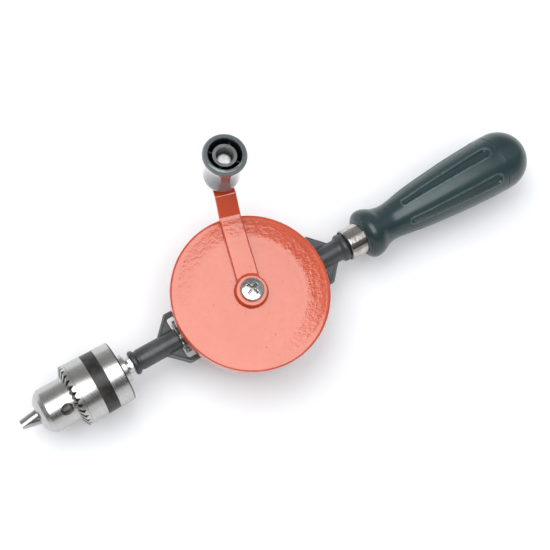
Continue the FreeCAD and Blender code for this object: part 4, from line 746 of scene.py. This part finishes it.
def build_hub_screw():
    """The domed screw in the middle of the wheel, with a cross recess."""
    low, high = box_mm("hub_screw")
    head = (high.x - low.x) / 2
    dome = [
        (high.z - SCREW_DOME * (radius / head) ** 2, radius) for radius in [0.2 * step for step in range(30)]
    ]
    outline = dome + [
        (high.z - SCREW_DOME, head - 0.3), (high.z - SCREW_DOME - 0.45, head), (SCREW_SEAT + 0.25, head),
        (SCREW_SEAT, head - 0.25), (SCREW_SEAT, SHANK_RADIUS), (low.z + 0.4, SHANK_RADIUS),
        (low.z, SHANK_RADIUS - 0.4), (low.z, 0),
    ]

    def crossed(number, z, radius, angle):
        if number >= len(dome):
            return z, radius
        along, across = radius * math.cos(angle - SCREW_TURN), radius * math.sin(angle - SCREW_TURN)
        return z - max(recess_depth(across, along), recess_depth(along, across)), radius

    screw = lathe("hub_screw_piece", outline, "Z", 240, CRANK_X, crossed, sharp=50)
    adopt(screw, "hub_screw", ZINC)
    # Painted shade: the cross recess takes the darker gear steel.
    paint_faces(screw, GEAR, lambda centre: (
        centre.z < high.z - 1.0 and math.hypot(centre.x - CRANK_X, centre.y) < RECESS_LENGTH / 2 + 0.6
    ))


# ---------------------------------------------------------------- knob

KNOB_FLOOR, KNOB_MOUTH, KNOB_CAVITY_RADIUS = 4, 29.6, 8.85
TUBE_TOP, TUBE_OUTER, TUBE_BORE, TUBE_SEAT = 26.5, 6.4, 4.8, 19


def build_knob():
    """The knob, with painted shade in its cavity and its inner tube in a plastic of its own."""
    knob = machined("knob", KNOB, 0.25, 3)
    foot, axis = joint_line("knob_spin")

    def height_and_radius(centre):
        height = (centre - foot).dot(axis)
        return height, (centre - foot - axis * height).length

    def in_cavity(centre):
        height, radius = height_and_radius(centre)
        return KNOB_FLOOR < height < KNOB_MOUTH and TUBE_OUTER - 0.1 < radius < KNOB_CAVITY_RADIUS

    def on_tube(centre):
        height, radius = height_and_radius(centre)
        return height > TUBE_TOP and radius < TUBE_OUTER + 0.1 or height > TUBE_SEAT and radius < TUBE_BORE

    # Painted shade: the cavity round the inner tube takes the near-black plastic.
    paint_faces(knob, KNOB_SHADE, in_cavity)
    paint_faces(knob, KNOB_TUBE, on_tube)


# ---------------------------------------------------------------- chuck

SLEEVE_FRONT, SLEEVE_REAR = 29.6, 57.2
SLEEVE_FRONT_RADIUS, SLEEVE_REAR_RADIUS = 17.2, 16.7
SLEEVE_LIP, SLEEVE_LIP_RADIUS = 27.9, 13.0
SLEEVE_LIP_BORE, SLEEVE_LIP_BACK = 12.65, 28.4
SLEEVE_BORE = 14.4
SLEEVE_EDGE = 0.6
NUT_FACE = 31.38
BAND_START, BAND_END, BAND_DEPTH = 41.3, 48.4, 0.2
LINE_X, LINE_DEPTH = 32.3, 0.15
KEY_TEETH = 30
KEY_TOOTH_SLANT = math.radians(25)
KEY_GAP_HALF_ANGLE = math.radians(30)
KEY_GAP_X, KEY_GAP_RADIUS = 28.79, 11.37
KEY_GAP_END = 31.9


def sleeve_radius(x):
    share = (x - SLEEVE_FRONT) / (SLEEVE_REAR - SLEEVE_FRONT)
    return SLEEVE_FRONT_RADIUS + share * (SLEEVE_REAR_RADIUS - SLEEVE_FRONT_RADIUS)


def key_gap_bottom(radius, angle):
    """How far back the V-shaped gaps between the key teeth reach, at a radius and an angle."""
    spacing = 2 * math.pi / KEY_TEETH
    across = abs(radius * math.sin((angle + spacing / 2) % spacing - spacing / 2))
    back = KEY_GAP_X + (radius - KEY_GAP_RADIUS) * math.tan(KEY_TOOTH_SLANT)
    return back - across / math.tan(KEY_GAP_HALF_ANGLE) / math.cos(KEY_TOOTH_SLANT)


def build_sleeve():
    """The chuck's outer sleeve: key teeth round its front cone, a fine line and a black oxide band."""
    face = [(SLEEVE_LIP, SLEEVE_LIP_RADIUS)]
    for step in range(1, 9):
        share = step / 8
        face.append((
            SLEEVE_LIP + share * (SLEEVE_FRONT - SLEEVE_LIP),
            SLEEVE_LIP_RADIUS + share * (SLEEVE_FRONT_RADIUS - 0.2 - SLEEVE_LIP_RADIUS),
        ))
    side = [(SLEEVE_FRONT + 0.15, SLEEVE_FRONT_RADIUS), (SLEEVE_FRONT + 0.8, SLEEVE_FRONT_RADIUS),
            (SLEEVE_FRONT + 1.5, SLEEVE_FRONT_RADIUS)]
    rest = rounded_corners([
        (KEY_GAP_END, sleeve_radius(KEY_GAP_END), 0), (LINE_X - LINE_DEPTH, sleeve_radius(LINE_X), 0),
        (LINE_X, sleeve_radius(LINE_X) - LINE_DEPTH, 0), (LINE_X + LINE_DEPTH, sleeve_radius(LINE_X), 0),
        (BAND_START, sleeve_radius(BAND_START), 0.15),
        (BAND_START, sleeve_radius(BAND_START) - BAND_DEPTH, 0),
        (BAND_END, sleeve_radius(BAND_END) - BAND_DEPTH, 0), (BAND_END, sleeve_radius(BAND_END), 0.15),
        (SLEEVE_REAR - SLEEVE_EDGE, sleeve_radius(SLEEVE_REAR - SLEEVE_EDGE), 0.2),
        (SLEEVE_REAR, SLEEVE_REAR_RADIUS - SLEEVE_EDGE, 0.2), (SLEEVE_REAR, SLEEVE_BORE, 0),
        (NUT_FACE, SLEEVE_BORE, 0), (NUT_FACE, SLEEVE_LIP_BORE, 0), (SLEEVE_LIP_BACK, SLEEVE_LIP_BORE, 0),
    ])
    toothed = len(face) + len(side)
    points = face + side + rest

    def cut_teeth(number, x, radius, angle):
        if number >= toothed:
            return x, radius
        if number < len(face):
            return max(x, key_gap_bottom(radius, angle)), radius
        front = max(SLEEVE_FRONT, key_gap_bottom(SLEEVE_FRONT_RADIUS, angle))
        share = (x - SLEEVE_FRONT) / (KEY_GAP_END - SLEEVE_FRONT)
        return front + share * (KEY_GAP_END - front), sleeve_radius(x)

    sleeve = adopt(
        lathe("chuck_sleeve_piece", points, "X", KEY_TEETH * STEPS_PER_TOOTH, change=cut_teeth, sharp=30),
        "chuck_sleeve", CHUCK,
    )

    # Faces that take the black band's finish: the band itself, the rear edge, and the gaps between the key teeth,
    # where it is painted shade.
    def band_edge_and_gap_shade(centre):
        radius = math.hypot(centre.y, centre.z)
        share = (radius - SLEEVE_LIP_RADIUS) / (SLEEVE_FRONT_RADIUS - SLEEVE_LIP_RADIUS)
        face = SLEEVE_LIP + share * (SLEEVE_FRONT - SLEEVE_LIP)
        return (
            radius > 15.5 and (BAND_START < centre.x < BAND_END or centre.x > SLEEVE_REAR - SLEEVE_EDGE - 0.1)
            or SLEEVE_LIP_RADIUS < radius < SLEEVE_FRONT_RADIUS - 0.05 and face + 0.2 < centre.x < KEY_GAP_END
        )

    paint_faces(sleeve, BAND, band_edge_and_gap_shade)


NOSE_X, NOSE_RADIUS, SHOULDER_X = 9.5, 6.4, 14.4
CHUCK_BORE_RADIUS, CHUCK_BORE_END = 4.85, 37.0
GROOVE_START, GROOVE_END, GROOVE_RADIUS = 31.2, 37.8, 8.6
CHUCK_REAR_RADIUS, CHUCK_REAR = 14.35, 56.9
BOSS_RADIUS, BOSS_END = 7.6, 60.6
SOCKET_RADIUS, SOCKET_END = 4.76, 43.2
JAW_TILT, JAW_START, PASSAGE_RADIUS, PASSAGE_END = math.radians(12), -0.87, 3.25, 54
KEY_HOLE_X, KEY_HOLE_RADIUS, KEY_HOLE_BOTTOM, KEY_HOLE_TOP = 23.6, 3.2, 6.5, 14
CHAMFER_START, CHAMFER_END, CHAMFER_RADIUS = 11.95, 13.3, 4.55


def outward(azimuth):
    """The direction away from the spindle's axis at an azimuth in degrees, 0 at +Y."""
    return Vector((0, math.cos(math.radians(azimuth)), math.sin(math.radians(azimuth))))


def build_chuck_body():
    """The chuck's body: a domed nose, three key holes and three slanting passages for the jaws."""
    body = lathe("chuck_body_piece", split_long(rounded_corners([
        (NOSE_X, CHUCK_BORE_RADIUS, 0.2), (NOSE_X, NOSE_RADIUS, 0.5), (10.5, 8.7, 2.5), (12.2, 10.8, 2.5),
        (SHOULDER_X, CHUCK_FRONT_RADIUS, 1.2), (GROOVE_START, CHUCK_FRONT_RADIUS, 0.2),
        (GROOVE_START, GROOVE_RADIUS, 0), (GROOVE_END, GROOVE_RADIUS, 0),
        (GROOVE_END, CHUCK_REAR_RADIUS, 0.2), (CHUCK_REAR, CHUCK_REAR_RADIUS, 0.4),
        (CHUCK_REAR, BOSS_RADIUS, 0.3), (BOSS_END, BOSS_RADIUS, 0.5),
        (BOSS_END, SOCKET_RADIUS, 0.3), (SOCKET_END, SOCKET_RADIUS, 0), (SOCKET_END, 0, 0),
        (CHUCK_BORE_END, 0, 0), (CHUCK_BORE_END, CHUCK_BORE_RADIUS, 0),
    ], 5), 1.2), "X", 192, sharp=32)
    tools = []
    for azimuth in (60, 180, 300):
        ends = [
            Vector((x, 0, 0)) + outward(azimuth) * (x * math.tan(JAW_TILT) + JAW_START)
            for x in (0, PASSAGE_END)
        ]
        tools.append((*ends, PASSAGE_RADIUS, PASSAGE_RADIUS))
    for azimuth in (0, 120, 240):
        out = outward(azimuth)
        middle = Vector((KEY_HOLE_X, 0, 0))
        tools.append((
            middle + out * KEY_HOLE_BOTTOM, middle + out * KEY_HOLE_TOP, KEY_HOLE_RADIUS, KEY_HOLE_RADIUS,
        ))
        tools.append((
            middle + out * CHAMFER_START, middle + out * CHAMFER_END, KEY_HOLE_RADIUS, CHAMFER_RADIUS,
        ))
    adopt(drilled(body, tools), "chuck_body", CHUCK)


# ---------------------------------------------------------------- the drill

build_handle()
machined("handle_end_cap", HANDLE, 0.2, 3)
machined("ferrule", NICKEL, 0.22, 3)
cast("frame_casting", FRAME, 0.36, 4)
cast("crank_arm", RED, 0.24, 12)
build_wheel()
build_hub_screw()
build_knob()
machined("knob_rivet", RIVET, 0.1)
build_chuck_body()
build_sleeve()
for jaw in ("chuck_jaw_1", "chuck_jaw_2", "chuck_jaw_3"):
    machined(jaw, JAW, 0.1)
machined("spindle", SPINDLE, 0.12)
for gear in ("pinion", "idler_pinion"):
    machined(gear, GEAR, 0.1)
for node in ("pinion_washer", "axle_washer", "axle_clip", "idler_clip", "handle_bolt_washer"):
    machined(node, ZINC, 0.08)
for node in ("wheel_axle", "idler_axle", "chuck_nut"):
    machined(node, GEAR, 0.12)
machined("handle_bolt", ZINC, 0.12)
machined("pinion_pin", ZINC, 0.1)
carried("thrust_ball", ZINC)


# ---------------------------------------------------------------- floor, lights and camera

# The studio that shiny surfaces see: degrees up from the +Y horizon, over the top and down to the -Y
# horizon, with the grey seen there as a share of the panel's strength.
STUDIO = (
    (0, 0.15), (25, 0.095), (60, 0.072), (69.5, 0.085), (72, 1.0), (113, 1.0), (116, 0.05), (136, 0.035),
    (150, 0.012), (156, 0.03), (160, 0.24), (180, 0.24),
)
PANEL_STRENGTH = 4.2
# The panel fades out over these ranges of the reflected direction: past +X, past -X, and off one corner,
# along a line that leans CORNER_LEAN in X for each half turn of the angle.
PANEL_EDGE = (0.305, 0.325)
PANEL_FAR_EDGE = (-0.5, -0.44)
PANEL_CORNER = (0.036, 0.05)
CORNER_LEAN, CORNER_START = 2.0, 0.608
WALL_LIMIT = 0.12
ROOM_STRENGTH = 0.8
FLOOR_RADIUS, FLOOR_GAP = 6000, 0.05


def build_floor():
    """A round pale floor just under the lowest point of the drill."""
    low = CAD_BOX[0]
    mesh = bpy.data.meshes.new("floor")
    shape = bmesh.new()
    bmesh.ops.create_circle(shape, cap_ends=True, segments=96, radius=FLOOR_RADIUS * MM)
    shape.to_mesh(mesh)
    shape.free()
    floor = bpy.data.objects.new("floor", mesh)
    floor.location.z = low.z - FLOOR_GAP * MM
    mesh.materials.append(pale_floor())
    bpy.context.scene.collection.objects.link(floor)


def build_world():
    """A pale room. Shiny surfaces see a studio in it: a bright panel overhead and dark ones beside it."""
    world = bpy.data.worlds.new("studio")
    bpy.context.scene.world = world
    world.use_nodes = True
    tree = world.node_tree
    tree.nodes.clear()

    def add(kind, **values):
        node = tree.nodes.new(kind)
        for name, value in values.items():
            if isinstance(value, bpy.types.NodeSocket):
                tree.links.new(value, node.inputs[int(name[1:])])
            else:
                node.inputs[int(name[1:])].default_value = value
        return node

    # The panel ends a little way off to each side, so it shows on the wheel but not along the handle, and
    # its cut corner leaves a darker streak near the wheel's edge.
    split = add("ShaderNodeSeparateXYZ", _0=add("ShaderNodeTexCoord").outputs["Generated"])
    angle = add("ShaderNodeMath", _0=split.outputs["Z"], _1=split.outputs["Y"])
    angle.operation = "ARCTAN2"
    share = add("ShaderNodeMath", _0=angle.outputs[0], _1=math.pi)
    share.operation = "DIVIDE"
    ramp = add("ShaderNodeValToRGB", _0=share.outputs[0])
    while len(ramp.color_ramp.elements) < len(STUDIO):
        ramp.color_ramp.elements.new(0.5)
    for element, (degrees, grey) in zip(ramp.color_ramp.elements, STUDIO):
        element.position = degrees / 180
        element.color = (grey, grey, grey, 1)

    def fade(value, limits, start, end):
        return add("ShaderNodeMapRange", _0=value, _1=limits[0], _2=limits[1], _3=start, _4=end).outputs[0]

    def times(one, other):
        product = add("ShaderNodeMath", _0=one, _1=other)
        product.operation = "MULTIPLY"
        return product.outputs[0]

    slant = add("ShaderNodeMath", _0=share.outputs[0], _1=-CORNER_LEAN, _2=CORNER_START)
    slant.operation = "MULTIPLY_ADD"
    across = add("ShaderNodeMath", _0=split.outputs["X"], _1=slant.outputs[0])
    between = times(
        fade(split.outputs["X"], PANEL_EDGE, 1.0, 0.0), fade(split.outputs["X"], PANEL_FAR_EDGE, 0.0, 1.0)
    )
    within = times(between, fade(across.outputs[0], PANEL_CORNER, 1.0, 0.0))
    room_wall = add("ShaderNodeMath", _0=ramp.outputs[0], _1=WALL_LIMIT)
    room_wall.operation = "MINIMUM"
    walls = add("ShaderNodeMix", _0=within, _2=room_wall.outputs[0], _3=ramp.outputs[0])
    studio = add("ShaderNodeBackground", _0=walls.outputs[0], _1=PANEL_STRENGTH)
    room = add("ShaderNodeBackground", _0=(0.96, 0.975, 1.0, 1), _1=ROOM_STRENGTH)
    backdrop = add("ShaderNodeBackground", _0=(0.99, 0.99, 1.0, 1), _1=0.95)
    rays = add("ShaderNodeLightPath").outputs
    shiny = add("ShaderNodeMixShader", _0=rays["Is Glossy Ray"], _1=room.outputs[0], _2=studio.outputs[0])
    seen = add("ShaderNodeMixShader", _0=rays["Is Camera Ray"], _1=shiny.outputs[0], _2=backdrop.outputs[0])
    add("ShaderNodeOutputWorld", _0=seen.outputs[0])


def add_softbox(name, place, aim, width, depth, power):
    """A soft rectangular light that lights the drill but shows in no reflection."""
    light = bpy.data.lights.new(name, "AREA")
    light.shape = "RECTANGLE"
    light.size = width
    light.size_y = depth
    light.energy = power
    lamp = bpy.data.objects.new(name, light)
    lamp.location = place
    lamp.rotation_euler = (Vector(aim) - Vector(place)).to_track_quat("-Z", "Y").to_euler()
    lamp.visible_camera = False
    lamp.visible_glossy = False
    bpy.context.scene.collection.objects.link(lamp)


# Where the camera stands, and the directions of its view and of its right-hand side.
CAMERA_PLACE = (4.6, -94.0, 553.4)
CAMERA_FORWARD, CAMERA_RIGHT = (0.2599, 0.1696, -0.9506), (0.8454, -0.5158, 0.1390)
CAMERA_LENS = 69.4


def build_camera():
    """The camera, above the drill and a little to its -Y side, turned so that the handle points up right."""
    forward = Vector(CAMERA_FORWARD).normalized()
    upward = Vector(CAMERA_RIGHT).normalized().cross(forward).normalized()
    right = forward.cross(upward).normalized()
    turning = Matrix((right, upward, -forward)).transposed().to_4x4()
    data = bpy.data.cameras.new("camera")
    data.sensor_width = 36
    data.lens = CAMERA_LENS
    data.clip_start = 0.01
    camera = bpy.data.objects.new("camera", data)
    camera.matrix_world = Matrix.Translation(Vector(CAMERA_PLACE) * MM) @ turning
    bpy.context.scene.collection.objects.link(camera)
    bpy.context.scene.camera = camera


build_floor()
build_world()
# Lights, their sizes and their distances from the drill are in metres, and their power is in watts.
middle = (CAD_BOX[0] + CAD_BOX[1]) / 2
add_softbox("key_light", middle + Vector((-0.25, 0.55, 0.95)), middle, 1.2, 1.0, 7.5)
add_softbox("fill_light", middle + Vector((0.1, -0.5, 1.1)), middle, 1.2, 1.0, 3)
build_camera()
bpy.context.scene.view_settings.view_transform = "Standard"
